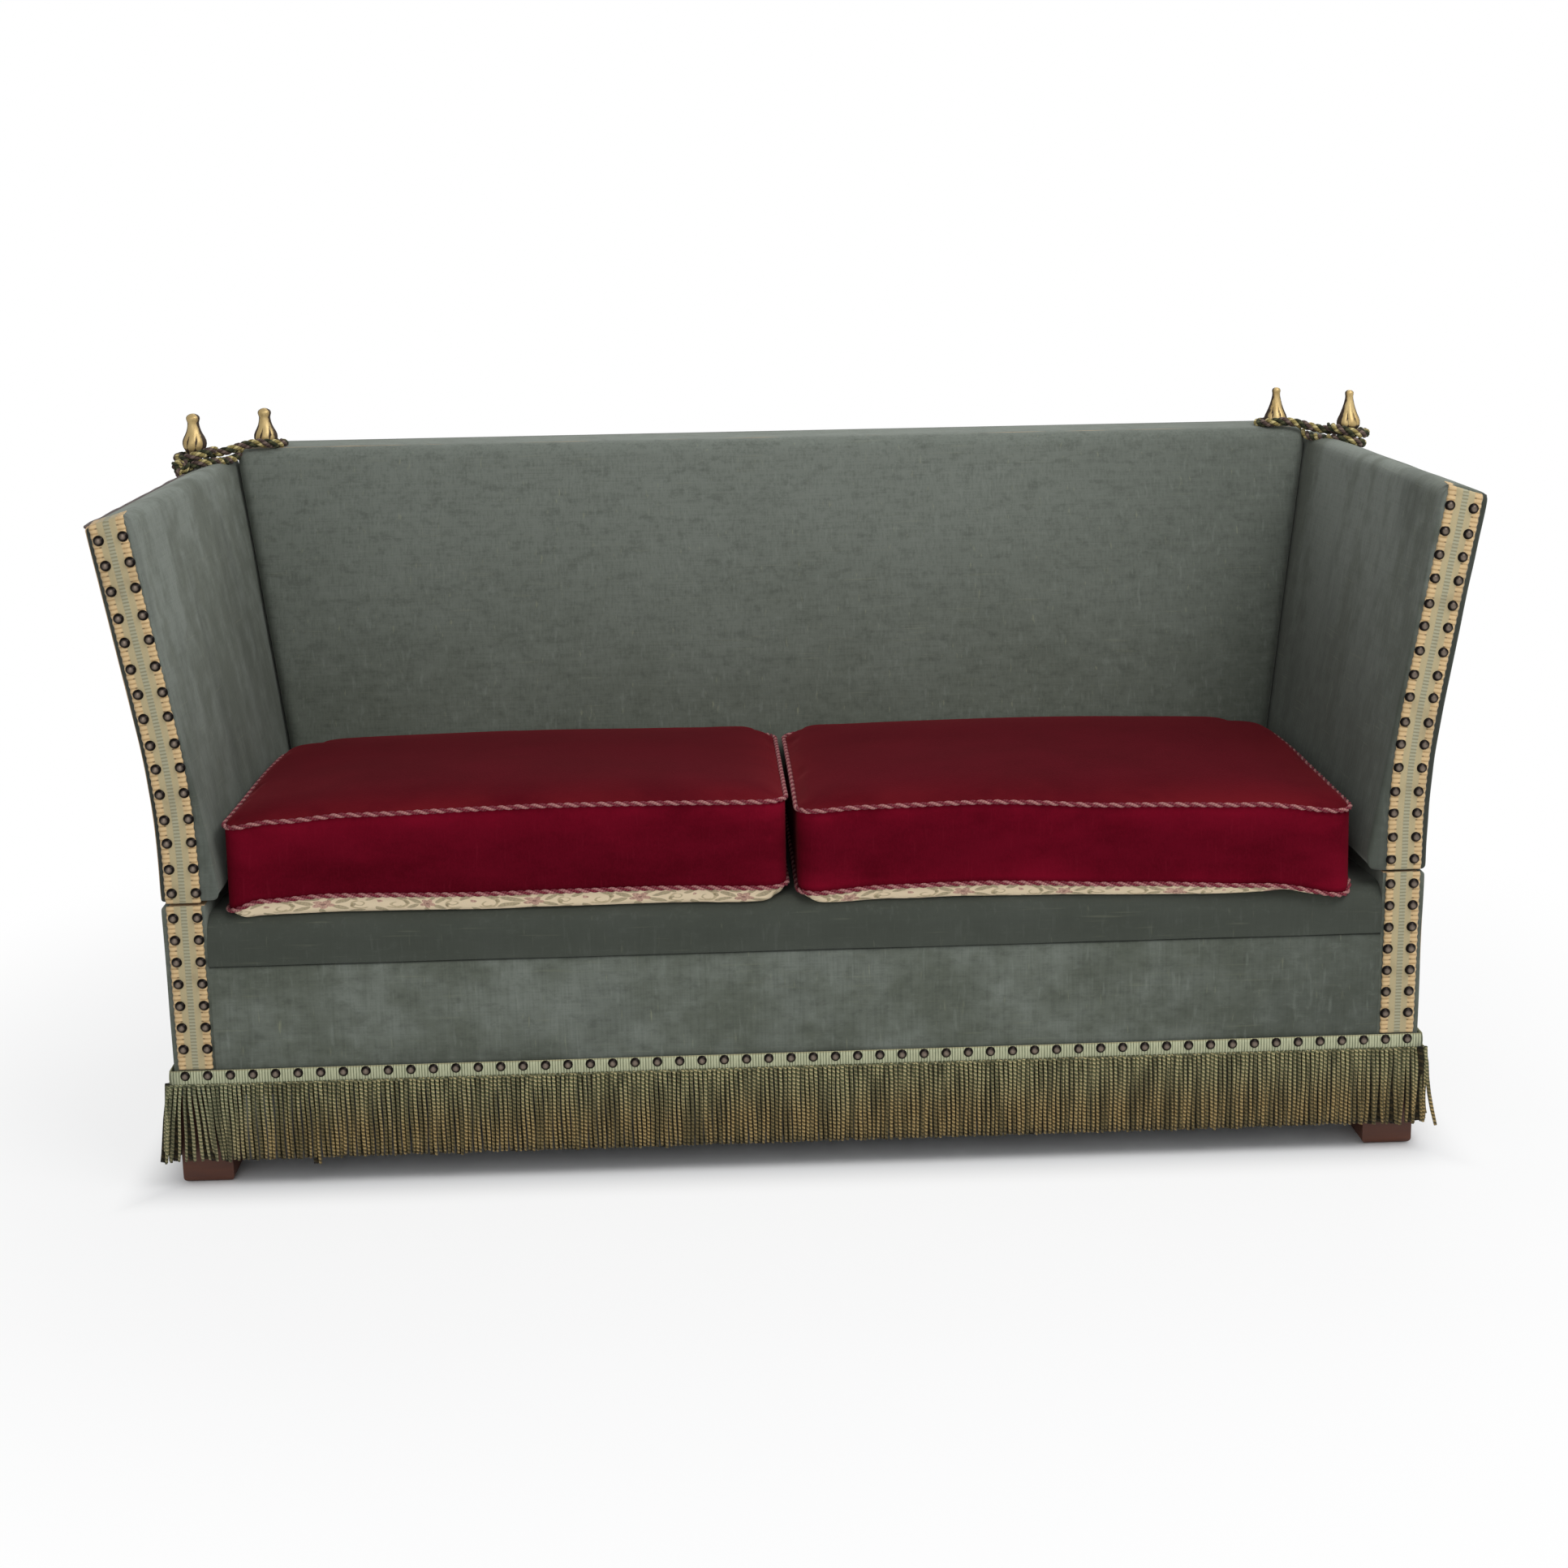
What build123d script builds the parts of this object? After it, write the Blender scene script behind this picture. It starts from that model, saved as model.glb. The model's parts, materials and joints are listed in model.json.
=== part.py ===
"""Two-seat drop arm sofa, in millimetres, +X to the sitter's left as seen from the front, +Z up.

The front face of the base lies on y = 0 while the pieces are made. At the end everything is
moved so that the origin is the middle of the footprint, on the floor.
"""
from build123d import *
from math import acos, atan2, cos, degrees, hypot, pi, radians, sin, tan
import os

# Overall sizes
base_width = 1686.0
base_depth = 680.0
hinge_height = 400.0
back_height = 932.0
frame_bottom = 130.0
velvet = 2.0
seat_clearance = 0.3
overrun = 5.0

# Timber
rail_thickness = 36.0
post_width = 56.0
centre_rail_height = 100.0
corner_block_leg = 75.0
corner_block_height = 60.0

# Feet
foot_width = 68.0
foot_setback = 12.0
foot_edge_radius = 9.0

# Drop arm section: straight foot, a curve outwards, then a straight splay
arm_depth = 676.0
arm_straight_height = 50.0
arm_curve_height = 190.0
arm_height = 505.0
arm_splay = 9.4
arm_foot_thickness = 83.0
arm_head_thickness = 57.0
arm_top_rise = 18.0
arm_board = 36.0
arm_post_depth = 40.0
arm_front_post_width = 50.0
arm_rail_height = 48.0
arm_outer_radius = 9.0
arm_inner_radius = 22.0
arm_heel_radius = 24.0

# Arm hinge: leaves fold flat in the gap, knuckles under the outer edge
hinge_gap = 3.2
hinge_inset = 5.0
hinge_relief_width = 10.0
hinge_relief_height = 9.0
leaf_clearance = 0.4
leaf_width = 28.0
leaf_length = 75.0
knuckle_radius = 3.2
knuckle_clearance = 0.3
pin_radius = 1.5
pin_clearance = 0.06
hinge_place_shares = (0.14, 0.5, 0.86)

# Seat platform
seat_slope = 4.0
deck_height = 383.0
deck_depth = 555.0
lip_radius = 28.0
seam_height = 313.5
seat_pad_thickness = 40.0
edge_roll_depth = 60.0
spring_count = 7
spring_pitch = 42.0
spring_row_width = 50.0
spring_wire_radius = 1.8
spring_field_width = 1240.0
dust_cover_thickness = 1.4

# Back
back_bottom = 350.0
back_bend_height = 405.0
back_front_depth = 517.0
back_rake = 12.4
back_top_thickness = 107.0
back_side_clearance = 1.0
back_edge_radius = 22.0
back_pad_thickness = 58.0
back_post_width = 50.0
back_post_bottom = 180.0
back_top_rail_height = 44.0
back_top_rail_depth = 88.0
back_lower_rail_height = 50.0
back_lower_rail_thickness = 30.0
webbing_thickness = 1.5
webbing_width = 50.0
upright_web_count = 9
level_web_count = 5

# Braid and dome nails
braid_thickness = 2.5
braid_margin = 8.0
braid_width = 46.0
nail_radius = 7.0
nail_dome = 4.2
nail_shank_radius = 1.0
nail_shank_length = 12.0
nail_hole_clearance = 0.15
nail_line_insets = (17.0, 48.5)
nail_line_lifts = (0.0, 5.0)
nail_spacing = 30.3
nail_wander = 1.1
nail_wander_turn = 137.5
arm_nail_counts = {"left": 15, "right": 16}
arm_nail_first_share = 0.03
arm_nail_last_share = 0.962
pillar_nail_count = 7
pillar_nail_first_share = 0.13
pillar_nail_last_share = 0.93

# Bullion fringe
fringe_bottom = 38.0
heading_bottom = 147.0
heading_height = 22.0
heading_thickness = 4.0
skirt_thickness = 12.0
fringe_nail_share = 0.66

# Finials: rings as shares of the bulb's height and widest radius, across and along the flat tip
finial_height = 59.0
finial_radius = 18.5
finial_rings_shares = (
    (0.0, 0.66, 0.66),
    (0.1, 0.86, 0.86),
    (0.26, 1.0, 1.0),
    (0.44, 0.8, 0.8),
    (0.64, 0.5, 0.46),
    (0.76, 0.47, 0.38),
    (0.89, 0.58, 0.36),
    (0.97, 0.46, 0.26),
    (1.0, 0.24, 0.12),
)
stem_radius = 9.0
stem_depth = 26.0
stem_clearance = 0.2
arm_stem_rise = 25.0
arm_finial_inset = 13.5
arm_finial_depth = 575.0
back_finial_inset = 46.0
back_finial_rear_inset = 72.0

# Tie rope round both finials
rope_radius = 7.0
rope_clearance = 0.5
rope_settling = 1.5
arm_turn_radius = 26.2
back_turn_radius = 27.0
turn_sides = 6
rope_fillet_share = 0.45
first_turn_start = -20.0
last_turn_end = -215.0
back_climb_share = 1.25
first_rise_from = 0.5
last_lift_share = 1.75

# Seat cushions
cushion_width = 738.0
cushion_depth = 512.0
cushion_gap = 22.0
cushion_front = 2.0
cushion_shift = -8.0
boxing_height = 113.0
crown = 24.0
belly = 22.0
side_draw = 7.0
cushion_corner_radius = 30.0
cushion_fabric = 2.5
piping_radius = 3.0
swell_shares = ((0.0, 0.0), (0.34, 0.03), (0.7, 0.09), (0.92, 0.18), (1.0, 0.28))

# Worked out from the sizes above
outer_x = base_width / 2
room = base_width
side_skin_x = outer_x - velvet
pillar_inner_x = side_skin_x - post_width
rail_inner_x = side_skin_x - rail_thickness
frame_front = velvet
frame_back = base_depth - velvet
base_top = hinge_height - hinge_gap / 2
arm_bottom = hinge_height + hinge_gap / 2
hinge_x = outer_x - hinge_inset
deck_tan = tan(radians(seat_slope))
back_tan = tan(radians(back_rake))
splay = radians(arm_splay)
arm_top_z = hinge_height + arm_height
curve_bottom_z = hinge_height + arm_straight_height
curve_radius = arm_curve_height / sin(splay)
curve_centre = (outer_x + curve_radius, curve_bottom_z)


def box(x0, x1, y0, y1, z0, z1):
    """Box between two opposite corners."""
    middle = Pos((x0 + x1) / 2, (y0 + y1) / 2, (z0 + z1) / 2)
    return middle * Box(x1 - x0, y1 - y0, z1 - z0)


def prism_along_y(points, y0, y1):
    """Outline of (x, z) points, carried from y0 to y1."""
    face = Face(Wire.make_polygon([(x, y0, z) for x, z in points], close=True))
    return extrude(face, amount=y1 - y0, dir=(0, 1, 0))


def prism_along_x(points, x0, x1):
    """Outline of (y, z) points, carried from x0 to x1."""
    face = Face(Wire.make_polygon([(x0, y, z) for y, z in points], close=True))
    return extrude(face, amount=x1 - x0, dir=(1, 0, 0))


def meet(p, along_p, q, along_q):
    """Point where two lines of the section plane cross."""
    across = along_p[0] * along_q[1] - along_p[1] * along_q[0]
    reach = ((q[0] - p[0]) * along_q[1] - (q[1] - p[1]) * along_q[0]) / across
    return (p[0] + along_p[0] * reach, p[1] + along_p[1] * reach)


def shifted_line(p, q, inset):
    """Line from p towards q, moved to its left by the inset: a point and a unit direction."""
    length = hypot(q[0] - p[0], q[1] - p[1])
    along = ((q[0] - p[0]) / length, (q[1] - p[1]) / length)
    return (p[0] - along[1] * inset, p[1] + along[0] * inset), along


def mirrored(shape):
    """The same piece for the other end of the sofa."""
    return mirror(shape, about=Plane.YZ)


def both_ends(shape):
    """A piece and its mirror image as one group."""
    return Compound(children=[*shape.solids(), *mirrored(shape).solids()])


def drilled(shape, tools):
    """Shape with a list of tools cut out."""
    for tool in tools:
        shape = shape - tool
    return shape


# Drop arm outline, for the arm on +X
def curve_point(inset, angle):
    """Point of the arm's outer curve, the given angle above its foot."""
    radius = curve_radius + inset
    return (curve_centre[0] - radius * cos(angle), curve_centre[1] + radius * sin(angle))


arm_top_outer_x = (
    curve_point(0, splay)[0] + (arm_top_z - curve_bottom_z - arm_curve_height) * tan(splay)
)
arm_outer_corner = (arm_top_outer_x, arm_top_z)
arm_inner_corner = (arm_top_outer_x - arm_head_thickness, arm_top_z + arm_top_rise)
arm_inner_foot = (outer_x - arm_foot_thickness, hinge_height)


def arm_outer_top(inset, top_inset):
    """Corner of the outer line, moved in by one inset, and the top line, by the other."""
    side_along = (sin(splay), cos(splay))
    top_point, top_along = shifted_line(arm_outer_corner, arm_inner_corner, top_inset)
    return meet(curve_point(inset, splay), side_along, top_point, top_along)


def outer_edges(inset, z_low, top_inset):
    """Edges up the outer side of the arm, from z_low to the top line."""
    foot = (outer_x - inset, z_low)
    bend = curve_point(inset, 0)
    middle = curve_point(inset, splay / 2)
    crest = curve_point(inset, splay)
    head = arm_outer_top(inset, top_inset)
    edges = [
        Edge.make_line((foot[0], 0, foot[1]), (bend[0], 0, bend[1])),
        Edge.make_three_point_arc(
            (bend[0], 0, bend[1]), (middle[0], 0, middle[1]), (crest[0], 0, crest[1])
        ),
        Edge.make_line((crest[0], 0, crest[1]), (head[0], 0, head[1])),
    ]
    return foot, head, edges


def arm_envelope(inset, z_low, y0, y1):
    """Solid of the whole arm section, every face moved in by the inset."""
    foot, head, edges = outer_edges(inset, z_low, inset)
    top_point, top_along = shifted_line(arm_outer_corner, arm_inner_corner, inset)
    in_point, in_along = shifted_line(arm_inner_corner, arm_inner_foot, inset)
    shoulder = meet(top_point, top_along, in_point, in_along)
    heel = meet(in_point, in_along, (0, z_low), (1, 0))
    rim = [head, shoulder, heel, foot]
    for start, end in zip(rim, rim[1:]):
        edges.append(Edge.make_line((start[0], 0, start[1]), (end[0], 0, end[1])))
    solid = extrude(Face(Wire(edges)), amount=y1 - y0, dir=(0, 1, 0))
    rounded = {head: arm_outer_radius, shoulder: arm_inner_radius, heel: arm_heel_radius}
    for corner, radius in rounded.items():
        edge = solid.edges().filter_by(Axis.Y).sort_by_distance((corner[0], 0, corner[1]))
        middle = [e for e in edge if hypot(e.center().X - corner[0], e.center().Z - corner[1]) < velvet]
        solid = fillet(middle, radius - inset)
    return Pos(0, y0, 0) * solid


def arm_band(inset, width, z_low, top_inset, y0, y1):
    """Band that follows the arm's outer side, from one inset to a wider one."""
    foot, head, edges = outer_edges(inset, z_low, top_inset)
    inner_foot, inner_head, inner_edges = outer_edges(inset + width, z_low, top_inset)
    edges += inner_edges
    edges.append(Edge.make_line((foot[0], 0, foot[1]), (inner_foot[0], 0, inner_foot[1])))
    edges.append(Edge.make_line((head[0], 0, head[1]), (inner_head[0], 0, inner_head[1])))
    solid = extrude(Face(Wire(edges)), amount=y1 - y0, dir=(0, 1, 0))
    return Pos(0, y0, 0) * solid


def arm_line_x(inset, z):
    """X of the arm's outer side, moved in by the inset, at a height."""
    if z < curve_bottom_z:
        return outer_x - inset
    radius = curve_radius + inset
    rise = z - curve_bottom_z
    if rise < radius * sin(splay):
        return curve_centre[0] - (radius**2 - rise**2) ** 0.5
    start = curve_point(inset, splay)
    return start[0] + (z - start[1]) * tan(splay)


def arm_top_at(x):
    """Height of the arm's sloping top at an x."""
    return arm_top_z + (arm_top_outer_x - x) * arm_top_rise / arm_head_thickness


def hinge_relief(side_of_gap):
    """Wedge cut from the outer corner over (1) or under (-1) the hinge line."""
    start_z = hinge_height + side_of_gap * hinge_gap / 2
    corner_z = hinge_height + side_of_gap * hinge_relief_height
    points = [
        (outer_x - hinge_relief_width, start_z),
        (outer_x, corner_z),
        (outer_x + overrun, corner_z),
        (outer_x + overrun, hinge_height),
        (outer_x - hinge_relief_width, hinge_height),
    ]
    return prism_along_y(points, -overrun, base_depth + overrun)


# Dome nails
def dome_nail():
    """One dome nail, its head towards the viewer and its shank along +Y."""
    dome_radius = (nail_radius**2 + nail_dome**2) / (2 * nail_dome)
    half_angle = atan2(nail_radius, dome_radius - nail_dome) / 2
    crown_point = (0, -nail_dome, 0)
    shoulder = (dome_radius * sin(half_angle), dome_radius * (1 - cos(half_angle)) - nail_dome, 0)
    rim = (nail_radius, 0, 0)
    shank = [
        rim,
        (nail_shank_radius, 0, 0),
        (nail_shank_radius, nail_shank_length, 0),
        (0, nail_shank_length, 0),
        crown_point,
    ]
    edges = [Edge.make_three_point_arc(crown_point, shoulder, rim)]
    edges += [Edge.make_line(a, b) for a, b in zip(shank, shank[1:])]
    return revolve(Face(Wire(edges)), axis=Axis.Y)


def nail_group(places):
    """Nails at (x, y, z) places."""
    nail = dome_nail()
    return Compound(children=[s for place in places for s in (Pos(*place) * nail).solids()])


def nail_holes(places):
    """Clearance holes for the shanks, from in front of each place to the shank's end."""
    radius = nail_shank_radius + nail_hole_clearance
    length = nail_shank_length + nail_hole_clearance
    hole = Rot(-90, 0, 0) * Cylinder(radius, length, align=(Align.CENTER, Align.CENTER, Align.MIN))
    return [Pos(*place) * hole for place in places]


def spread(first, last, count):
    """Evenly spaced values, both ends included."""
    return [first + (last - first) * i / (count - 1) for i in range(count)]




def arm_nail_places(side):
    """Nails down the front of one arm in two columns, set by hand, on +X."""
    low = arm_bottom + arm_nail_first_share * arm_height
    high = arm_bottom + arm_nail_last_share * arm_height
    places = []
    for inset, lift in zip(nail_line_insets, nail_line_lifts):
        heights = spread(low, high + lift, arm_nail_counts[side])
        for i, height in enumerate(heights):
            turn = radians(nail_wander_turn * (i + inset))
            z = height + nail_wander * sin(turn)
            places.append((arm_line_x(inset, z) + nail_wander * cos(turn) / 2, -braid_thickness, z))
    return places


def pillar_nail_places():
    """Nails down the front pillar on +X in two columns, above the fringe heading."""
    foot = heading_bottom + heading_height
    span = base_top - foot
    heights = spread(foot + pillar_nail_first_share * span, foot + pillar_nail_last_share * span,
                     pillar_nail_count)
    return [(outer_x - inset, -braid_thickness, z) for inset in nail_line_insets for z in heights]


def fringe_nail_places():
    """Row of nails along the front of the fringe heading."""
    reach = outer_x - nail_line_insets[0]
    count = round(2 * reach / nail_spacing) + 1
    z = heading_bottom + fringe_nail_share * heading_height
    y = -heading_thickness - seat_clearance
    return [(x, y, z) for x in spread(-reach, reach, count)]


def turned_over(places):
    """The same places on the other end of the sofa."""
    return [(-x, y, z) for x, y, z in places]


# Finials
def finial(turn):
    """Carved finial on its stem, base at z = 0, its flat tip turned about Z."""
    rings = []
    for level, across, along in finial_rings_shares:
        ring = Ellipse(across * finial_radius, along * finial_radius)
        rings.append(Pos(0, 0, level * finial_height) * ring)
    return Rot(0, 0, turn) * loft(rings)


def finial_with_stem(turn, stem_length):
    """Finial with a stem that runs down from its base."""
    stem = Cylinder(stem_radius, stem_length, align=(Align.CENTER, Align.CENTER, Align.MAX))
    return finial(turn) + stem


def stem_hole(x, y, z_top, depth):
    """Hole for a finial's stem, open above z_top."""
    radius = stem_radius + stem_clearance
    bottom = z_top - depth - seat_clearance
    cylinder = Cylinder(radius, depth + arm_stem_rise + overrun,
                        align=(Align.CENTER, Align.CENTER, Align.MIN))
    return Pos(x, y, bottom) * cylinder


arm_finial_x = arm_top_outer_x - arm_finial_inset
arm_finial_foot = arm_top_at(arm_finial_x)
back_finial_x = arm_inner_corner[0] - back_finial_inset

# Back outline
back_side_foot = (arm_inner_foot[0] - back_side_clearance, hinge_height)
back_side_tan = (arm_inner_corner[0] - arm_inner_foot[0]) / (arm_inner_corner[1] - arm_inner_foot[1])


def back_side_x(z, inset):
    """Half width of the back at a height, moved in by the inset."""
    return back_side_foot[0] + (z - hinge_height) * back_side_tan - inset


def raked_front_y(z, inset):
    """Raked plane of the back's front at a height, moved back by the inset."""
    return back_front_depth + (z - back_bend_height) * back_tan + inset


def back_front_y(z, inset):
    """Front face of the back at a height, upright below the bend."""
    return max(raked_front_y(z, inset), back_front_depth + inset)


back_top_rear_y = back_front_y(back_height, 0) + back_top_thickness
back_finial_depth = back_top_rear_y - back_finial_rear_inset
back_rear_tan = (back_top_rear_y - base_depth) / (back_height - hinge_height)


def back_rear_y(z, inset):
    """Rear face of the back at a height, moved forward by the inset."""
    if z < hinge_height:
        return base_depth - inset
    return base_depth + (z - hinge_height) * back_rear_tan - inset


def web_y(z):
    """Front of the back's timbers, where the webbing lies."""
    return back_front_y(z, back_pad_thickness + velvet + 2 * webbing_thickness)


def back_envelope(inset, rear_extra, bottom_extra):
    """Solid of the back, faces moved in by the inset, run on behind and below."""
    top = back_height - inset
    low = back_bottom - bottom_extra
    sides = [(s * back_side_x(z, inset), z) for s, z in ((-1, low), (1, low), (1, top), (-1, top))]
    rear = back_top_rear_y + rear_extra
    face = [(raked_front_y(low, inset), low), (raked_front_y(top, inset), top), (rear, top), (rear, low)]
    solid = prism_along_y(sides, 0, rear + overrun) & prism_along_x(face, -room, room)
    top_edges = solid.edges().group_by(Axis.Z)[-1].sort_by(Axis.Y)[:-1]
    front_sides = solid.faces().sort_by(Axis.Y)[0].edges().filter_by(Axis.X, reverse=True)
    solid = fillet([*top_edges, *front_sides], back_edge_radius - inset)
    profile = [
        (back_front_y(low, inset), low),
        (back_front_y(back_bend_height, inset), back_bend_height),
        (back_front_y(top, inset), top),
        (back_rear_y(top, 0) + rear_extra, top),
        (back_rear_y(hinge_height, 0) + rear_extra, hinge_height),
        (back_rear_y(low, 0) + rear_extra, low),
    ]
    return solid & prism_along_x(profile, -room, room)


def behind(y_of, z0, z1, thickness, x0, x1):
    """Slab behind a raked line between two heights, with its thickness along Y."""
    points = [
        (y_of(z0), z0),
        (y_of(z1), z1),
        (y_of(z1) + thickness, z1),
        (y_of(z0) + thickness, z0),
    ]
    return prism_along_x(points, x0, x1)


def rear_slab():
    """Thickness of the velvet over the raked outside of the back."""
    return behind(lambda z: back_rear_y(z, velvet), hinge_height, back_height + overrun,
                  velvet + overrun, -room, room)


# Seat lines
def deck_z(y):
    """Height of the seat platform's face."""
    return deck_height - y * deck_tan


spring_drop = velvet + seat_pad_thickness
front_rail_top = (
    deck_z(frame_front + rail_thickness) - spring_drop - 2 * spring_wire_radius - 2 * seat_clearance
)


def base_timbers():
    """Rails, posts and blocks of the base."""
    rail_back = frame_front + rail_thickness
    rear_front = frame_back - rail_thickness
    front_rail = box(-pillar_inner_x, pillar_inner_x, frame_front, rail_back,
                     frame_bottom, front_rail_top)
    rear_rail = box(-rail_inner_x, rail_inner_x, rear_front, frame_back, frame_bottom, base_top)
    post = box(pillar_inner_x, side_skin_x, frame_front, rail_back, frame_bottom, base_top)
    side_rail = box(rail_inner_x, side_skin_x, rail_back, frame_back, frame_bottom, base_top)
    post = post - Pos(-velvet, 0, 0) * hinge_relief(-1)
    side_rail = side_rail - Pos(-velvet, 0, 0) * hinge_relief(-1)
    centre_rail = box(-rail_thickness / 2, rail_thickness / 2, rail_back, rear_front,
                      frame_bottom, frame_bottom + centre_rail_height)
    blocks = []
    for x_side in (-1, 1):
        for y_corner, y_way in ((rail_back, 1), (rear_front, -1)):
            corner = (x_side * rail_inner_x, y_corner, frame_bottom)
            points = [
                corner,
                (corner[0] - x_side * corner_block_leg, corner[1], frame_bottom),
                (corner[0], corner[1] + y_way * corner_block_leg, frame_bottom),
            ]
            face = Face(Wire.make_polygon(points, close=True))
            blocks += extrude(face, amount=corner_block_height, dir=(0, 0, 1)).solids()
    front_rail = drilled(front_rail, nail_holes(
        [p for p in fringe_nail_places() if abs(p[0]) < pillar_inner_x]))
    post_nails = pillar_nail_places()
    post_nails += [p for p in fringe_nail_places() if p[0] > pillar_inner_x]
    post = drilled(post, nail_holes(post_nails))
    return {
        "front_rail": front_rail,
        "rear_rail": rear_rail,
        "right_front_post": post,
        "left_front_post": mirrored(post),
        "right_side_rail": side_rail,
        "left_side_rail": mirrored(side_rail),
        "centre_rail": centre_rail,
        "corner_blocks": Compound(children=blocks),
    }


def foot_places():
    """Middle of each foot."""
    x = outer_x - foot_width / 2
    near = foot_setback + foot_width / 2
    far = base_depth - near
    return [(side * x, y) for side in (-1, 1) for y in (near, far)]


def feet():
    """Four square block feet with eased edges below."""
    foot = Box(foot_width, foot_width, frame_bottom, align=(Align.CENTER, Align.CENTER, Align.MIN))
    low = foot.edges().filter_by(Plane.XY).group_by(Axis.Z)[0]
    foot = fillet(low, foot_edge_radius)
    return Compound(children=[s for x, y in foot_places() for s in (Pos(x, y, 0) * foot).solids()])


def dust_cover():
    """Thin cloth under the rails, notched round the feet."""
    edge = 2 * foot_setback / 3
    sheet = box(-outer_x + edge, outer_x - edge, edge, base_depth - edge,
                frame_bottom - dust_cover_thickness, frame_bottom)
    for x, y in foot_places():
        half = foot_width / 2 + seat_clearance
        sheet = sheet - box(x - half, x + half, y - half, y + half,
                            frame_bottom - overrun, frame_bottom + overrun)
    return sheet


def seat_springs():
    """Zigzag springs from the front rail's top to the rear rail."""
    wire_drop = spring_drop + (spring_wire_radius + leaf_clearance / 2) / cos(radians(seat_slope))
    start_y = frame_front + rail_thickness / 4
    end_y = frame_back - rail_thickness - spring_wire_radius - seat_clearance
    rows = int((end_y - start_y) / spring_pitch)
    start_y = end_y - rows * spring_pitch
    points = []
    for row in range(rows + 1):
        way = 1 if row % 2 == 0 else -1
        points.append((-way * spring_row_width / 2, row * spring_pitch))
        points.append((way * spring_row_width / 2, row * spring_pitch))
    radius = spring_pitch / 2 - spring_wire_radius
    path = FilletPolyline(*points, radius=radius)
    section = Plane(origin=path @ 0, z_dir=path % 0) * Circle(spring_wire_radius)
    spring = sweep(section, path=path)
    spring = Pos(0, start_y, deck_z(start_y) - wire_drop) * Rot(-seat_slope, 0, 0) * spring
    reach = spring_field_width / 2
    springs = [Pos(x, 0, 0) * spring for x in spread(-reach, reach, spring_count)]
    return Compound(children=[s for one in springs for s in one.solids()])


def lip_profile(inset, z_low, y_high):
    """Side outline of the seat platform: up the front, round the lip, back along the deck."""
    front = inset
    top_front = (front, deck_z(0) - inset)
    rear = (y_high, deck_z(y_high) - inset)
    points = [(front, z_low), top_front, rear, (y_high, z_low)]
    solid = prism_along_x(points, -pillar_inner_x + seat_clearance, pillar_inner_x - seat_clearance)
    edge = solid.edges().filter_by(Axis.X).sort_by_distance((0, front, top_front[1]))[0]
    return fillet(edge, lip_radius - inset)


def seat_soft_parts():
    """Velvet platform with its lip, the roll under the lip and the pad over the springs."""
    outer = lip_profile(0, seam_height, deck_depth)
    inner = lip_profile(velvet, seam_height - overrun, deck_depth + overrun)
    cover = outer - inner
    roll_end = frame_front + edge_roll_depth
    roll = inner & box(-room, room, 0, roll_end, front_rail_top, hinge_height)
    above_springs = prism_along_x(
        [
            (roll_end, deck_z(roll_end) - spring_drop),
            (deck_depth, deck_z(deck_depth) - spring_drop),
            (deck_depth, hinge_height),
            (roll_end, hinge_height),
        ],
        -room, room)
    pad = inner & above_springs
    under_roll = prism_along_x(
        [
            (frame_front + rail_thickness / 4 - overrun, deck_z(0) - spring_drop + seat_clearance),
            (roll_end + overrun, deck_z(roll_end) - spring_drop + seat_clearance),
            (roll_end + overrun, front_rail_top - overrun),
            (frame_front + rail_thickness / 4 - overrun, front_rail_top - overrun),
        ],
        -room, room)
    return {"seat_platform_cover": cover, "front_edge_roll": roll - under_roll, "seat_pad": pad}


def base_covers():
    """Velvet on the front, the ends and the pillars of the base."""
    front = box(-pillar_inner_x, pillar_inner_x, 0, velvet, frame_bottom, seam_height - seat_clearance)
    front = drilled(front, nail_holes(
        [p for p in fringe_nail_places() if abs(p[0]) < pillar_inner_x]))
    side = box(pillar_inner_x, outer_x, 0, base_depth, frame_bottom, base_top)
    inside = box(pillar_inner_x - overrun, side_skin_x, velvet, base_depth + overrun,
                 frame_bottom - overrun, base_top + overrun)
    inside = inside - Pos(-velvet, 0, 0) * hinge_relief(-1)
    side = side - inside - hinge_relief(-1)
    holes = pillar_nail_places() + [p for p in fringe_nail_places() if p[0] > pillar_inner_x]
    side = drilled(side, nail_holes(holes))
    return {"front_border_cover": front, "right_side_cover": side, "left_side_cover": mirrored(side)}


def pillar_braids():
    """Braid up each front pillar, from the fringe heading to the hinge line."""
    low = heading_bottom + heading_height + seat_clearance
    braid = box(outer_x - braid_margin - braid_width, outer_x - braid_margin,
                -braid_thickness, 0, low, base_top)
    braid = drilled(braid - hinge_relief(-1), nail_holes(pillar_nail_places()))
    return both_ends(braid)


def fringe():
    """Bullion fringe round the base: a flat heading with a thicker skirt below it."""
    def ring(outer_offset, z0, z1):
        inner = RectangleRounded(base_width + 2 * seat_clearance, base_depth + 2 * seat_clearance,
                                 seat_clearance)
        outer = RectangleRounded(base_width + 2 * outer_offset, base_depth + 2 * outer_offset,
                                 outer_offset)
        return Pos(0, base_depth / 2, z0) * extrude(outer - inner, amount=z1 - z0)

    skirt = ring(skirt_thickness + seat_clearance, fringe_bottom, heading_bottom)
    heading = ring(heading_thickness + seat_clearance, heading_bottom, heading_bottom + heading_height)
    return drilled(skirt + heading, nail_holes(fringe_nail_places()))


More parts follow.
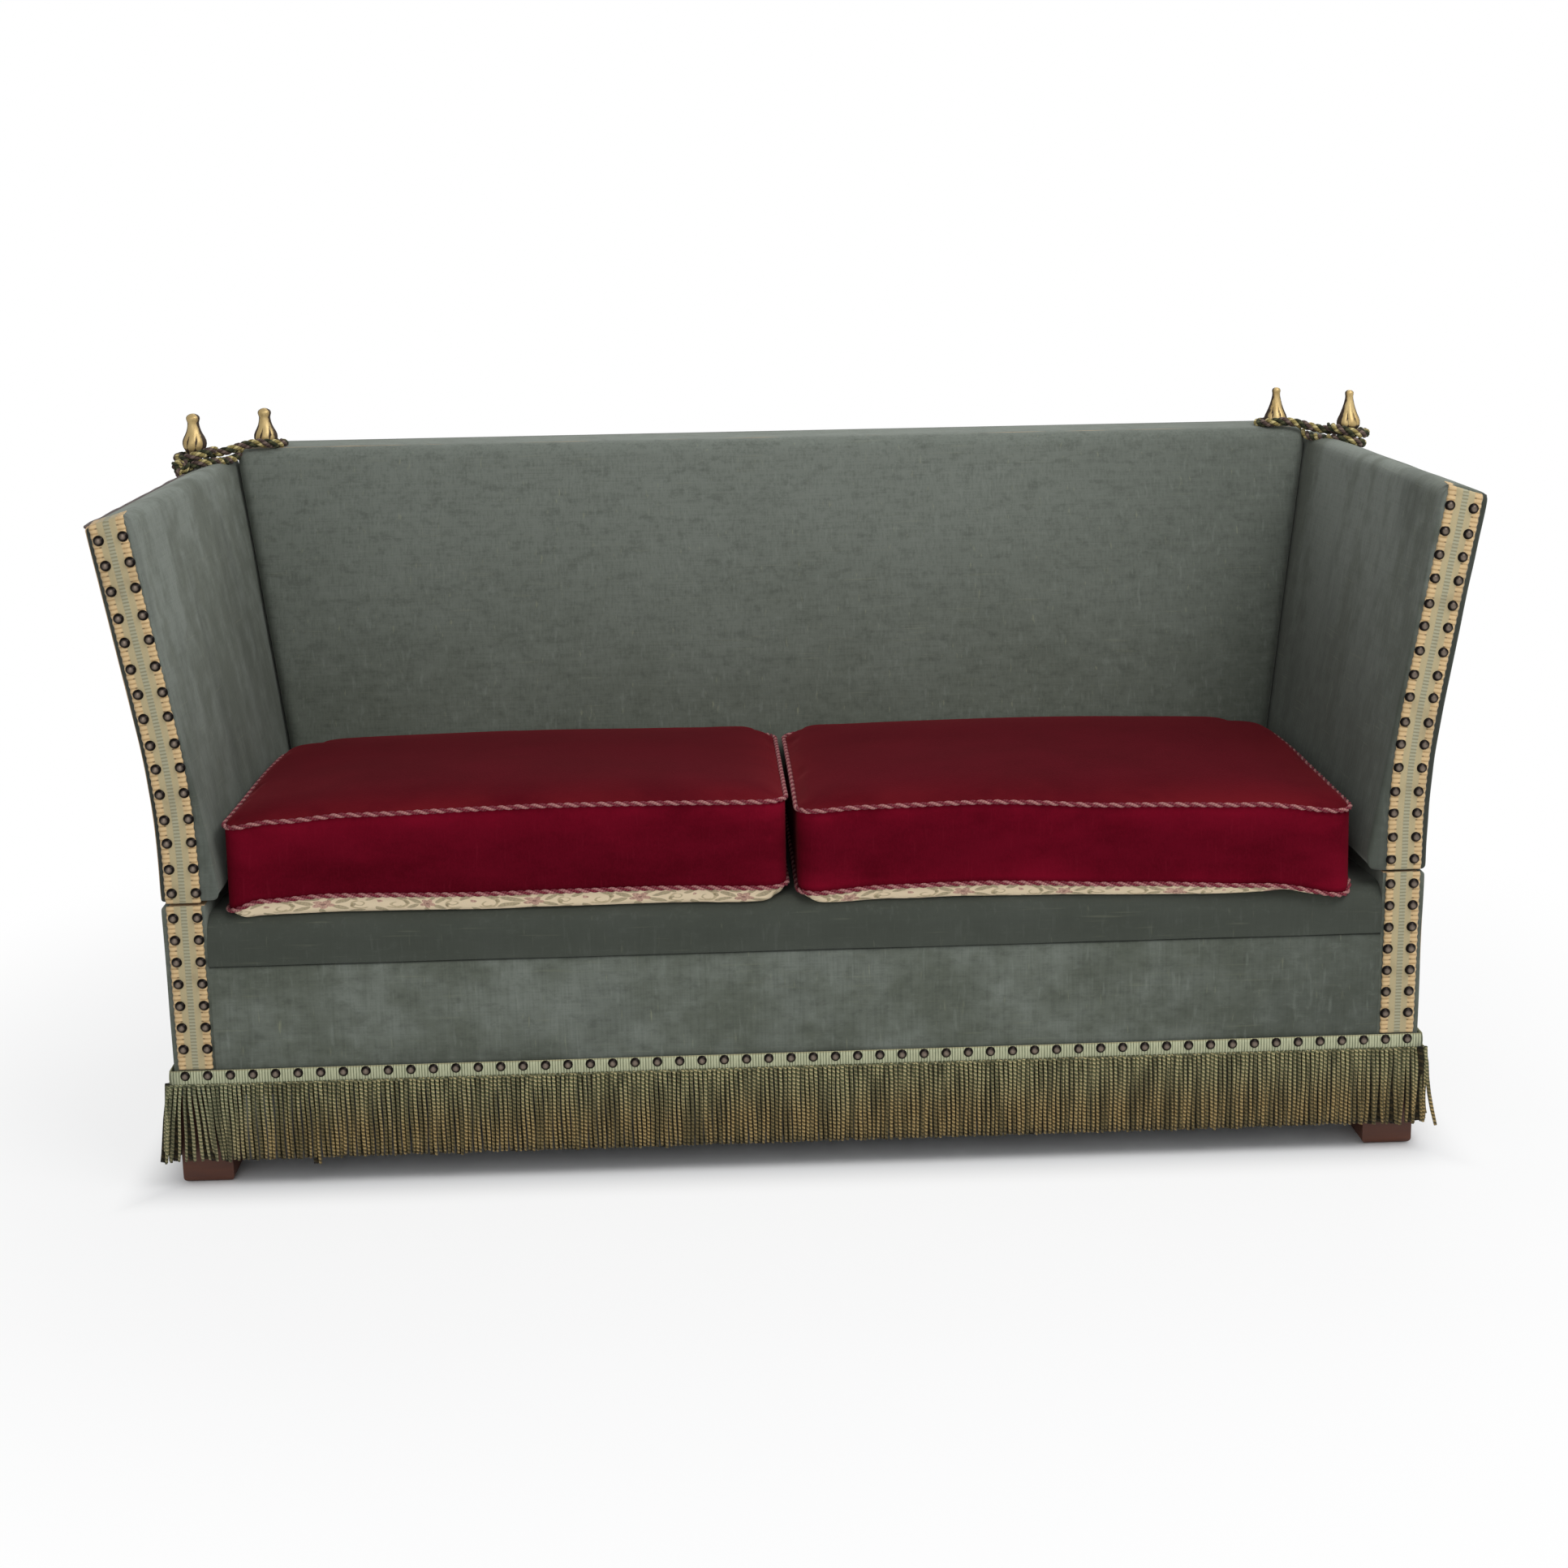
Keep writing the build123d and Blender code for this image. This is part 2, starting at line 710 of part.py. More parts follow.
def back_timbers():
    """Raked posts and the rails between them."""
    def between(z0, z1, y_low_rear):
        """Side outline of the timber zone, clear of the rear rail below the hinge line."""
        points = [(web_y(z0), z0), (web_y(z1), z1), (back_rear_y(z1, velvet), z1)]
        if z0 < base_top:
            points += [
                (back_rear_y(hinge_height, velvet), hinge_height),
                (y_low_rear, hinge_height),
            ]
        points.append((y_low_rear, z0))
        return points

    inner = back_envelope(velvet, 0, back_bottom - back_post_bottom)
    rail_low = back_height - velvet - back_top_rail_height
    post_rear = frame_back - rail_thickness
    top_outline = [
        (back_rear_y(rail_low, back_top_rail_depth), rail_low),
        (back_rear_y(back_height, back_top_rail_depth), back_height),
        (back_rear_y(back_height, velvet), back_height),
        (back_rear_y(rail_low, velvet), rail_low),
    ]
    top_rail = inner & prism_along_x(top_outline, -room, room)
    top_rail = top_rail - stem_hole(back_finial_x, back_finial_depth, back_height, stem_depth)
    top_rail = top_rail - stem_hole(-back_finial_x, back_finial_depth, back_height, stem_depth)
    outer_low = back_side_x(back_post_bottom, velvet)
    outer_high = back_side_x(rail_low, velvet)
    post_face = [
        (outer_low - back_post_width, back_post_bottom),
        (outer_low, back_post_bottom),
        (outer_high, rail_low),
        (outer_high - back_post_width, rail_low),
    ]
    post = prism_along_y(post_face, 0, back_top_rear_y)
    post = post & prism_along_x(between(back_post_bottom, rail_low, post_rear), 0, outer_x)
    lower_z = back_bend_height
    lower_high = lower_z + back_lower_rail_height
    lower = behind(web_y, lower_z, lower_high, back_lower_rail_thickness, -room, room)
    between_posts = prism_along_y(
        [(s * (back_side_x(z, velvet) - back_post_width), z)
         for s, z in ((-1, 0), (1, 0), (1, back_height), (-1, back_height))],
        0, back_top_rear_y)
    return {
        "back_top_rail": top_rail,
        "right_back_post": post,
        "left_back_post": mirrored(post),
        "back_lower_rail": lower & between_posts,
    }


def back_webbing():
    """Level straps on the posts, with upright straps over them."""
    low = back_bend_height
    high = back_height - velvet - back_top_rail_height - seat_clearance
    straps = []
    level_step = (high - low - webbing_width) / (level_web_count - 1)
    for i in range(level_web_count):
        z0 = low + i * level_step
        reach = back_side_x(z0, velvet) - back_post_width / 3
        level = behind(lambda z: web_y(z) - webbing_thickness, z0, z0 + webbing_width,
                       webbing_thickness, -reach, reach)
        straps += level.solids()
    reach = back_side_x(low, velvet) - back_post_width - webbing_width / 2
    for x in spread(-reach, reach, upright_web_count):
        upright = behind(lambda z: web_y(z) - 2 * webbing_thickness, low, high,
                         webbing_thickness, x - webbing_width / 2, x + webbing_width / 2)
        straps += upright.solids()
    return Compound(children=straps)


def back_soft_parts():
    """Stuffing, inside cover and outside cover of the back."""
    outer = back_envelope(0, 0, 0)
    inner = back_envelope(velvet, overrun, overrun)
    behind_rail = box(-room, room, frame_back - rail_thickness - seat_clearance, base_depth + overrun,
                      0, hinge_height)
    cover = outer - inner - rear_slab() - behind_rail
    for side in (-1, 1):
        cover = cover - stem_hole(side * back_finial_x, back_finial_depth, back_height, stem_depth)
    pad_rear = prism_along_x(
        [
            (back_front_depth - overrun, back_bottom),
            (web_y(back_bottom) - 2 * webbing_thickness, back_bottom),
            (web_y(back_bend_height) - 2 * webbing_thickness, back_bend_height),
            (web_y(back_height) - 2 * webbing_thickness, back_height),
            (back_front_depth - overrun, back_height),
        ],
        -room, room)
    rail_low = back_height - velvet - back_top_rail_height
    over_rail = behind(lambda z: back_rear_y(z, back_top_rail_depth), rail_low, back_height,
                       back_top_rail_depth, -room, room)
    pad = (inner & pad_rear) - over_rail
    upper = outer & behind(lambda z: back_rear_y(z, velvet), hinge_height, back_height + overrun,
                           velvet, -room, room)
    corner = Pos(-velvet, 0, 0) * hinge_relief(-1)
    lower = box(-side_skin_x, side_skin_x, frame_back, base_depth, frame_bottom, base_top)
    lower = lower - corner - mirrored(corner)
    bridge = box(-back_side_foot[0], back_side_foot[0], frame_back, base_depth, base_top, hinge_height)
    return {"back_pad": pad, "inside_back_cover": cover, "outside_back_cover": upper + lower + bridge}


def back_finials():
    """Pair of finials on the back's top rail, the tips turned differently at the two ends."""
    length = stem_depth
    right = Pos(back_finial_x, back_finial_depth, back_height + seat_clearance)
    left = Pos(-back_finial_x, back_finial_depth, back_height + seat_clearance)
    pair = [right * finial_with_stem(90, length), left * finial_with_stem(0, length)]
    return Compound(children=[s for one in pair for s in one.solids()])


# Hinges
leaf_thickness = (hinge_gap - leaf_clearance) / 2


def hinge_leaf(middle_y, upper):
    """One leaf with its knuckles; the lower leaf carries the pin."""
    way = 1 if upper else -1
    y0 = middle_y - leaf_length / 2
    knuckle = leaf_length / 3
    plate_far = hinge_gap / 2
    plate_near = plate_far - leaf_thickness
    z0, z1 = sorted((hinge_height + way * plate_near, hinge_height + way * plate_far))
    plate_end = hinge_x - knuckle_radius - knuckle_clearance
    leaf = box(plate_end - leaf_width, plate_end, y0, y0 + leaf_length, z0, z1)
    rows = (1,) if upper else (0, 2)
    for row in rows:
        start = y0 + row * knuckle + knuckle_clearance / 2
        end = y0 + (row + 1) * knuckle - knuckle_clearance / 2
        barrel = Rot(-90, 0, 0) * Cylinder(knuckle_radius, end - start,
                                           align=(Align.CENTER, Align.CENTER, Align.MIN))
        reach = box(plate_end - leaf_width / 2, hinge_x - pin_radius - knuckle_clearance,
                    start, end, z0, z1)
        leaf = leaf + Pos(hinge_x, start, hinge_height) * barrel + reach
    if upper:
        bore = Rot(-90, 0, 0) * Cylinder(pin_radius + pin_clearance, leaf_length,
                                         align=(Align.CENTER, Align.CENTER, Align.MIN))
        return leaf - Pos(hinge_x, y0, hinge_height) * bore
    pin = Rot(-90, 0, 0) * Cylinder(pin_radius, leaf_length - knuckle_clearance,
                                    align=(Align.CENTER, Align.CENTER, Align.MIN))
    return leaf + Pos(hinge_x, y0 + knuckle_clearance / 2, hinge_height) * pin


def hinge_leaves(upper):
    """The leaves of the three hinges at one end."""
    leaves = [hinge_leaf(share * arm_depth, upper) for share in hinge_place_shares]
    return Compound(children=[s for leaf in leaves for s in leaf.solids()])


def arm_parts(side):
    """Every piece of one drop arm, made on +X."""
    places = arm_nail_places(side)
    wood_front = velvet
    wood_back = arm_depth - velvet
    relief = hinge_relief(1)
    wood_relief = Pos(-velvet, 0, 0) * relief
    rail_top = arm_bottom + arm_rail_height
    whole = arm_envelope(0, arm_bottom, 0, arm_depth)
    inside = arm_envelope(velvet, arm_bottom, wood_front, wood_back)
    void = inside + arm_envelope(velvet, arm_bottom - overrun, wood_front, wood_back)
    band = arm_band(velvet, arm_board, arm_bottom, velvet, wood_front, wood_back) & inside
    post_back = wood_front + arm_post_depth
    wide_band = arm_band(velvet, arm_front_post_width, arm_bottom, velvet, wood_front, post_back)
    hole = stem_hole(arm_finial_x, arm_finial_depth, arm_finial_foot, stem_depth)
    top_rail_z = arm_top_z - arm_rail_height
    lower = box(0, room, 0, base_depth, 0, rail_top)
    above = box(0, room, 0, base_depth, rail_top, room)
    rear_end = box(0, room, wood_back - arm_post_depth, base_depth, 0, room)
    past_post = box(0, room, post_back, base_depth, 0, room)
    high = box(0, room, post_back, wood_back - arm_post_depth, top_rail_z, room)
    cover = whole - (void - wood_relief) - relief - hole
    pad = inside - arm_band(0, arm_board + velvet, arm_bottom - overrun, -overrun, 0, arm_depth)
    pad = pad - arm_band(0, arm_front_post_width + velvet, arm_bottom - overrun, -overrun, 0, post_back)
    braid = arm_band(braid_margin, braid_width, arm_bottom, arm_outer_radius / 2,
                     -braid_thickness, 0)
    finial_turn = 90 if side == "right" else 0
    finial_base = Pos(arm_finial_x, arm_finial_depth, arm_finial_foot + arm_stem_rise)
    parts = {
        "front_post": drilled((wide_band & inside) - wood_relief, nail_holes(places)),
        "rear_post": band & above & rear_end,
        "top_rail": (band & high) - hole,
        "bottom_rail": (band & lower & past_post) - wood_relief,
        "pad": pad - hole,
        "cover": drilled(cover, nail_holes(places)),
        "braid": drilled(braid - relief, nail_holes(places)),
        "nails": nail_group(places),
        "finial": finial_base * finial_with_stem(finial_turn, arm_stem_rise + stem_depth),
        "hinge_leaves": hinge_leaves(True),
    }
    return {f"{side}_arm_{name}": shape for name, shape in parts.items()}


# Tie rope
def turn_points(centre, radius, start, sweep_angle, height_at):
    """Corners of a polygon whose sides touch a circle round a finial, angles in degrees."""
    count = round(abs(sweep_angle) / (360 / turn_sides))
    step = sweep_angle / count
    corner = radius / cos(radians(step / 2))
    points = []
    for i in range(count):
        share = (i + 0.5) / count
        angle = radians(start + sweep_angle * share)
        x = centre[0] + corner * cos(angle)
        points.append((x, centre[1] + corner * sin(angle), height_at(x, share)))
    return points


def resting_z(x):
    """Height of a rope's middle where it lies on the arm's sloping top."""
    slope = atan2(arm_top_rise, arm_head_thickness)
    lift = (rope_radius + rope_clearance) / cos(slope) - rope_settling
    return arm_top_at(min(x, arm_top_outer_x)) + lift


def rope_route():
    """Route on +X: tail, one turn on the arm, round the back finial, a last turn on the arm."""
    arm_centre = (arm_finial_x, arm_finial_depth)
    back_centre = (back_finial_x, back_finial_depth)
    apart = (back_centre[0] - arm_centre[0], back_centre[1] - arm_centre[1])
    heading = degrees(atan2(apart[1], apart[0]))
    cross = degrees(acos((arm_turn_radius + back_turn_radius) / hypot(*apart)))
    layer = 2 * rope_radius + rope_clearance
    back_low = back_height + rope_radius + 2 * rope_clearance
    tail_x = arm_top_outer_x + rope_radius + 2 * rope_clearance
    tail = [
        (tail_x - rope_radius / 3, arm_finial_depth + 2 * arm_turn_radius, arm_top_z - 3 * layer),
        (tail_x, arm_finial_depth + 1.6 * arm_turn_radius, arm_top_z - 1.2 * layer),
        (tail_x + rope_radius / 3, arm_finial_depth + 0.8 * arm_turn_radius, arm_top_z + layer / 3),
    ]
    first_end = heading + cross - 360
    first = turn_points(arm_centre, arm_turn_radius, first_turn_start, first_end - first_turn_start,
                        lambda x, share: resting_z(x) + max(0, share - first_rise_from) * rope_radius)
    around = turn_points(back_centre, back_turn_radius, heading + 180 + cross - 360,
                         360 - 2 * (180 - cross) + 180,
                         lambda x, share: back_low + share * layer * back_climb_share)
    last_start = heading - cross
    last = turn_points(arm_centre, arm_turn_radius, last_start, last_turn_end - last_start,
                       lambda x, share: resting_z(x) + layer * (last_lift_share - share / 3))
    return tail + first + around + last


def fillet_radii(points):
    """Arc radius at each inner point of a route, as large as its two runs allow."""
    radii = []
    for before, here, after in zip(points, points[1:], points[2:]):
        one = Vector(here) - Vector(before)
        two = Vector(after) - Vector(here)
        half_turn = radians(one.get_angle(two)) / 2
        radii.append(rope_fillet_share * min(one.length, two.length) / tan(half_turn))
    return radii


def least_gap_to_itself(path, radius):
    """Smallest clear distance between stretches of a tube that aren't neighbours."""
    count = round(path.length / radius * 2)
    spots = [path @ (i / count) for i in range(count + 1)]
    step = path.length / count
    apart = round(2.5 * pi * radius / step)
    gaps = [
        (spots[i] - spots[j]).length - 2 * radius
        for i in range(count + 1) for j in range(i + apart, count + 1)
    ]
    return min(gaps)


def tie_rope():
    """Rope wound in a figure of eight round the arm's finial and the back's."""
    points = rope_route()
    radii = fillet_radii(points)
    path = FilletPolyline(*points, radius=radii)
    section = Plane(origin=path @ 0, z_dir=path % 0) * Circle(rope_radius)
    rope = sweep(section, path=path)
    print("tie rope radii", [round(r, 1) for r in radii])
    print("tie rope length", round(path.length, 1), "volume share",
          round(rope.volume / (pi * rope_radius**2 * path.length), 4))
    print("tie rope least gap to itself", round(least_gap_to_itself(path, rope_radius), 2))
    return rope


# Seat cushions, in their own frame: x across, y back from the front edge, z from the lower seam
def cushion_ring(z, draw):
    """Rounded outline at a height, drawn in from the seams on every side."""
    radius = cushion_corner_radius + draw / 2
    outline = RectangleRounded(cushion_width - 2 * draw, cushion_depth - 2 * draw, radius)
    return Pos(0, cushion_depth / 2, z) * outline


def cushion_solid(inset):
    """Boxed cushion with a crown, a belly and drawn-in sides, its faces moved in by the inset."""
    low = inset
    high = boxing_height - inset
    boxing = loft([
        cushion_ring(low, inset),
        cushion_ring((low + high) / 2, inset + side_draw),
        cushion_ring(high, inset),
    ])
    top = loft([
        cushion_ring(high + rise * crown, inset + reach * cushion_depth)
        for rise, reach in swell_shares
    ])
    bottom = loft([
        cushion_ring(low - rise * belly, inset + reach * cushion_depth)
        for rise, reach in swell_shares
    ])
    return boxing + top + bottom


def piping_ring(z):
    """Closed cord round the cushion at a seam."""
    outline = RectangleRounded(cushion_width, cushion_depth, cushion_corner_radius)
    path = Pos(0, cushion_depth / 2, z) * outline.wire()
    section = Plane(origin=path @ 0, z_dir=path % 0) * Circle(piping_radius)
    return sweep(section, path=path)


def cushion_parts():
    """Core, velvet cover, patterned underside and piping of one cushion in its own frame."""
    whole = cushion_solid(0)
    core = cushion_solid(cushion_fabric)
    rings = [piping_ring(0), piping_ring(boxing_height)]
    shell = whole - core
    for ring in rings:
        shell = shell - ring
    reach = cushion_width
    below = box(-reach, reach, -reach, reach, -reach, cushion_fabric)
    cover = shell - below
    underside = shell & below
    piping = Compound(children=[s for ring in rings for s in ring.solids()])
    return {"core": core, "cover": cover, "underside": underside, "piping": piping}


def seated(shape, middle_x):
    """Cushion piece put on the sloping platform."""
    rise = (belly + seat_clearance) / cos(radians(seat_slope))
    place = Pos(middle_x, cushion_front, deck_z(cushion_front) + rise)
    return place * Rot(-seat_slope, 0, 0) * shape


# Assembly
nodes = {}
nodes.update(base_timbers())
nodes.update(back_timbers())
nodes["feet"] = feet()
nodes["dust_cover"] = dust_cover()
nodes["seat_springs"] = seat_springs()
nodes.update(seat_soft_parts())
nodes.update(base_covers())
nodes["pillar_braids"] = pillar_braids()
nodes["base_nails"] = nail_group(
    pillar_nail_places() + turned_over(pillar_nail_places()) + fringe_nail_places())
nodes["bullion_fringe"] = fringe()
nodes["back_webbing"] = back_webbing()
nodes.update(back_soft_parts())
nodes["back_finials"] = back_finials()
nodes["lower_hinge_leaves"] = both_ends(hinge_leaves(False))
nodes.update(arm_parts("right"))
nodes.update({name: mirrored(shape) for name, shape in arm_parts("left").items()})
rope = tie_rope()
nodes["right_tie_rope"] = rope
nodes["left_tie_rope"] = mirrored(rope)
half_pair = (cushion_width + cushion_gap) / 2
for side, way in (("left", -1), ("right", 1)):
    for name, shape in cushion_parts().items():
        nodes[f"{side}_cushion_{name}"] = seated(shape, cushion_shift + way * half_pair)

corners = Compound(children=[s for shape in nodes.values() for s in shape.solids()]).bounding_box()
recentre = Pos(-(corners.min.X + corners.max.X) / 2, -(corners.min.Y + corners.max.Y) / 2, 0)

os.makedirs("parts", exist_ok=True)
for name, shape in nodes.items():
    solids = [recentre * s for s in shape.solids()]
    export_step(solids[0] if len(solids) == 1 else Compound(children=solids), f"parts/{name}.step")
print(len(nodes), "nodes")
print("front plane y", round(recentre.position.Y, 3), "middle x", round(recentre.position.X, 3))
print("hinge axis x", hinge_x, "z", hinge_height)
print("size", [round(v, 1) for v in (corners.size.X, corners.size.Y, corners.size.Z)])
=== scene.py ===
"""Drop arm sofa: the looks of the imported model, laid out as an add-on and run as a script."""
import json
import math
import random

import bmesh
import bpy
from mathutils import Matrix, Vector, noise


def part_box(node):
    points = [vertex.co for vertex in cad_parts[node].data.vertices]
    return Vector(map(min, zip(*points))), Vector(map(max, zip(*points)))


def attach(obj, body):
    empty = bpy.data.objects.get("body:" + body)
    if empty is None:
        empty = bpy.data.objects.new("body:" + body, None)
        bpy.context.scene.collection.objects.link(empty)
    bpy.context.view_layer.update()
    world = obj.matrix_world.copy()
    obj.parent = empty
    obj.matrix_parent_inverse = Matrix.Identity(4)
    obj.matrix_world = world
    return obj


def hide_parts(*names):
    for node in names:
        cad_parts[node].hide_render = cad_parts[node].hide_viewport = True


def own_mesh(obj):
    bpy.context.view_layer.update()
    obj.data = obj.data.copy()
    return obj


bl_info = {
    "name": "Drop Arm Sofa",
    "version": (1, 0, 0),
    "blender": (4, 5, 0),
    "location": "View3D > Sidebar > Sofa",
    "description": "Upholstery, trim and stage of a two-seat drop arm sofa",
    "category": "Object",
}

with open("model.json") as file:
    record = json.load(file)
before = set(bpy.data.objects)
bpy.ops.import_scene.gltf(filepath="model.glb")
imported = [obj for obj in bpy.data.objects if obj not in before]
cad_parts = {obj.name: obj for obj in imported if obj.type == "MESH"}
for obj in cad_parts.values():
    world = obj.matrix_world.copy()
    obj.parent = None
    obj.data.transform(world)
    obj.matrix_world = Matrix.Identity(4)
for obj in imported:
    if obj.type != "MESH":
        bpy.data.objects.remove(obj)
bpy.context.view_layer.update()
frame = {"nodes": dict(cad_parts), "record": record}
NODES = frame["nodes"]
SIDES = (("left", -1), ("right", 1))

# Places in the row's frame, in metres: from the CAD's boxes, then as its source has them
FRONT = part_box("front_border_cover")[0][1]
OUTER_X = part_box("right_side_cover")[1][0]
BASE_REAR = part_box("right_side_cover")[1][1]
ARM_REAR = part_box("right_arm_cover")[1][1]
ARM_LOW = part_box("right_arm_cover")[0][2]
BACK_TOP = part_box("inside_back_cover")[1][2]
BACK_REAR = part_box("outside_back_cover")[1][1]
DECK_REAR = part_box("seat_platform_cover")[1][1]
DECK_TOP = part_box("seat_platform_cover")[1][2]
HINGE_Z = 0.400
HINGE_GAP = 0.0018             # the base's covers end this far below the hinge line
PILLAR_IN = OUTER_X - 0.058    # inner edge of the front pillars
COVER_FOOT = 0.1305            # lower edge of the base's covers
HEADING_TOP = 0.169
SEAM_Z = 0.3135                # seam between the front border and the seat lip
LIP_ROLL = 0.028               # radius of the seat's rolled front edge
LIP_REACH = 0.030              # from the front to the start of the deck
SEAT_TILT = math.radians(4.0)
BRAID_INSET = 0.008            # from the cover's edge to the braid's
BOXING = 0.112                 # height of the cushions' boxing

# The arm's outer side is upright to CURVE_LOW, curves out over CURVE_RISE and leans by SPLAY
CURVE_LOW = 0.450
CURVE_RISE = 0.190
SPLAY = math.radians(9.4)
CURVE_RADIUS = CURVE_RISE / math.sin(SPLAY)
ARM_TOP = 0.905
INNER_FOOT = (OUTER_X - 0.083, HINGE_Z)
INNER_HEAD = (0.8455, 0.923)
INNER_SLOPE = (INNER_HEAD[0] - INNER_FOOT[0]) / (INNER_HEAD[1] - INNER_FOOT[1])

# The inside back is upright to RAKE_FOOT and leans by BACK_RAKE above it
BACK_RAKE = math.tan(math.radians(12.4))
BACK_FRONT = FRONT + 0.517
BACK_FOOT = 0.352
RAKE_FOOT = 0.405

# Where a grid's own coordinate, from 0 to 1, counts as being on its side
EDGE = 1e-4


# Sizes and colours a user would change
def colour(name, description, default):
    return bpy.props.FloatVectorProperty(
        name=name, description=description, subtype="COLOR", default=default)


class SofaCloth(bpy.types.PropertyGroup):
    velvet: colour("Velvet", "Colour of the grey-green velvet", (0.104, 0.116, 0.092))
    # velvet_light is also the painted light, and velvet_shade the painted shade, of green_velvet
    velvet_light: colour(
        "Brushed velvet", "Colour where the pile is brushed up", (0.185, 0.205, 0.178))
    velvet_shade: colour(
        "Shaded velvet", "Colour where the pile lies down", (0.046, 0.052, 0.042))
    slub: colour("Slub", "Colour of the pale threads in the velvet", (0.30, 0.31, 0.20))
    crimson: colour("Crimson", "Colour of the cushion velvet", (0.100, 0.0022, 0.0092))
    crimson_deep: colour(
        "Deep crimson", "Colour of the crimson pile lying down", (0.058, 0.0010, 0.0046))
    cream: colour("Cream", "Ground colour of the cushion underside", (0.83, 0.68, 0.46))
    nap: bpy.props.FloatProperty(
        name="Nap", description="Height of the velvet's woven relief", default=0.0006,
        unit="LENGTH", min=0.0)


class SofaTrim(bpy.types.PropertyGroup):
    gold: colour("Gold", "Colour of the braid's outer bands", (0.74, 0.535, 0.285))
    gimp: colour("Gimp", "Colour of the braid's ground", (0.45, 0.365, 0.205))
    sage: colour("Sage", "Colour of the braid's middle rungs", (0.40, 0.38, 0.26))
    olive: colour("Olive", "Dark ply of the fringe", (0.125, 0.140, 0.066))
    wheat: colour("Wheat", "Light ply of the fringe", (0.53, 0.45, 0.235))
    strand_pitch: bpy.props.FloatProperty(
        name="Strand pitch", description="Distance between fringe strands", default=0.0060,
        unit="LENGTH", min=0.003)
    braid_width: bpy.props.FloatProperty(
        name="Braid width", description="Width of the braid", default=0.046,
        unit="LENGTH", min=0.01)


class SofaStage(bpy.types.PropertyGroup):
    key: bpy.props.FloatProperty(
        name="Key light", description="Power of the main soft lamp", default=62.0, unit="POWER")
    ground: colour("Floor", "Colour of the floor", (0.90, 0.90, 0.90))


# Shader maths
class Socket:
    """An output socket whose operators add Math nodes."""

    def __init__(self, shader, out):
        self.shader = shader
        self.out = out

    def _math(self, operation, *values):
        return self.shader.node("ShaderNodeMath", {"operation": operation}, list(values))

    def __add__(self, other):
        return self._math("ADD", self, other)

    def __sub__(self, other):
        return self._math("SUBTRACT", self, other)

    def __mul__(self, other):
        return self._math("MULTIPLY", self, other)

    def __truediv__(self, other):
        return self._math("DIVIDE", self, other)

    def __pow__(self, other):
        return self._math("POWER", self, other)

    def __rsub__(self, other):
        return self._math("SUBTRACT", other, self)

    def __rtruediv__(self, other):
        return self._math("DIVIDE", other, self)

    __radd__ = __add__
    __rmul__ = __mul__

    def fract(self):
        return self._math("FRACT", self)

    def abs(self):
        return self._math("ABSOLUTE", self)

    def smooth(self, low, high):
        return self.shader.node("ShaderNodeMapRange", {"interpolation_type": "SMOOTHSTEP"},
                                {"Value": self, "From Min": low, "From Max": high})

    def wave(self, pitch):
        """Distance from the middle between two multiples of the pitch, 0.5 on a multiple."""
        return ((self / pitch).fract() - 0.5).abs()


class Shader:
    """One material's nodes: every node comes from node()."""

    def __init__(self, name):
        self.material = bpy.data.materials.new(name)
        self.material.use_nodes = True
        self.tree = self.material.node_tree
        self.surface = self.tree.nodes["Principled BSDF"]

    def node(self, kind, settings=None, values=(), output=0):
        made = self.tree.nodes.new(kind)
        for key, value in (settings or {}).items():
            setattr(made, key, value)
        items = values.items() if isinstance(values, dict) else enumerate(values)
        for key, value in items:
            self.link(value, made.inputs[key])
        return Socket(self, made.outputs[output])

    def link(self, value, socket):
        if isinstance(value, Socket):
            self.tree.links.new(value.out, socket)
        elif hasattr(value, "__len__") and len(value) == 3 and socket.type == "RGBA":
            socket.default_value = (*value, 1)
        else:
            socket.default_value = value

    def place(self, scale=(1, 1, 1), source="Object"):
        spot = self.node("ShaderNodeTexCoord", output=source)
        return self.node("ShaderNodeMapping", {}, {"Vector": spot, "Scale": scale})

    def split(self, source="UV"):
        spot = self.node("ShaderNodeTexCoord", output=source)
        made = self.node("ShaderNodeSeparateXYZ", {}, [spot])
        return [Socket(self, o) for o in made.out.node.outputs]

    def noise(self, vector, scale, detail=2.0, rough=0.5):
        return self.node("ShaderNodeTexNoise", {},
                         {"Vector": vector, "Scale": scale, "Detail": detail, "Roughness": rough})

    def grain(self, level, upright, detail=2.0, rough=0.5):
        """Noise with about so many spots to the metre, level and upright."""
        return self.noise(self.place((level, level, upright)), 1.0, detail, rough)

    def attribute(self, name):
        return self.node("ShaderNodeAttribute", {"attribute_name": name}, output=2)

    def mix(self, factor, one, two):
        return self.node("ShaderNodeMix", {"data_type": "RGBA"}, {0: factor, 6: one, 7: two}, 2)

    def finish(self, color, rough, bump=None, height=0.001, strength=1.0, **fixed):
        self.link(color, self.surface.inputs["Base Color"])
        self.link(rough, self.surface.inputs["Roughness"])
        for key, value in fixed.items():
            self.link(value, self.surface.inputs[key.replace("_", " ")])
        if bump is not None:
            made = self.node("ShaderNodeBump", {},
                             {"Height": bump, "Distance": height, "Strength": strength})
            self.tree.links.new(made.out, self.surface.inputs["Normal"])
        return self.material


MATERIALS = {}


def finish_of(name, make):
    """A material made once and shared."""
    if name not in MATERIALS:
        MATERIALS[name] = make(name)
    return MATERIALS[name]


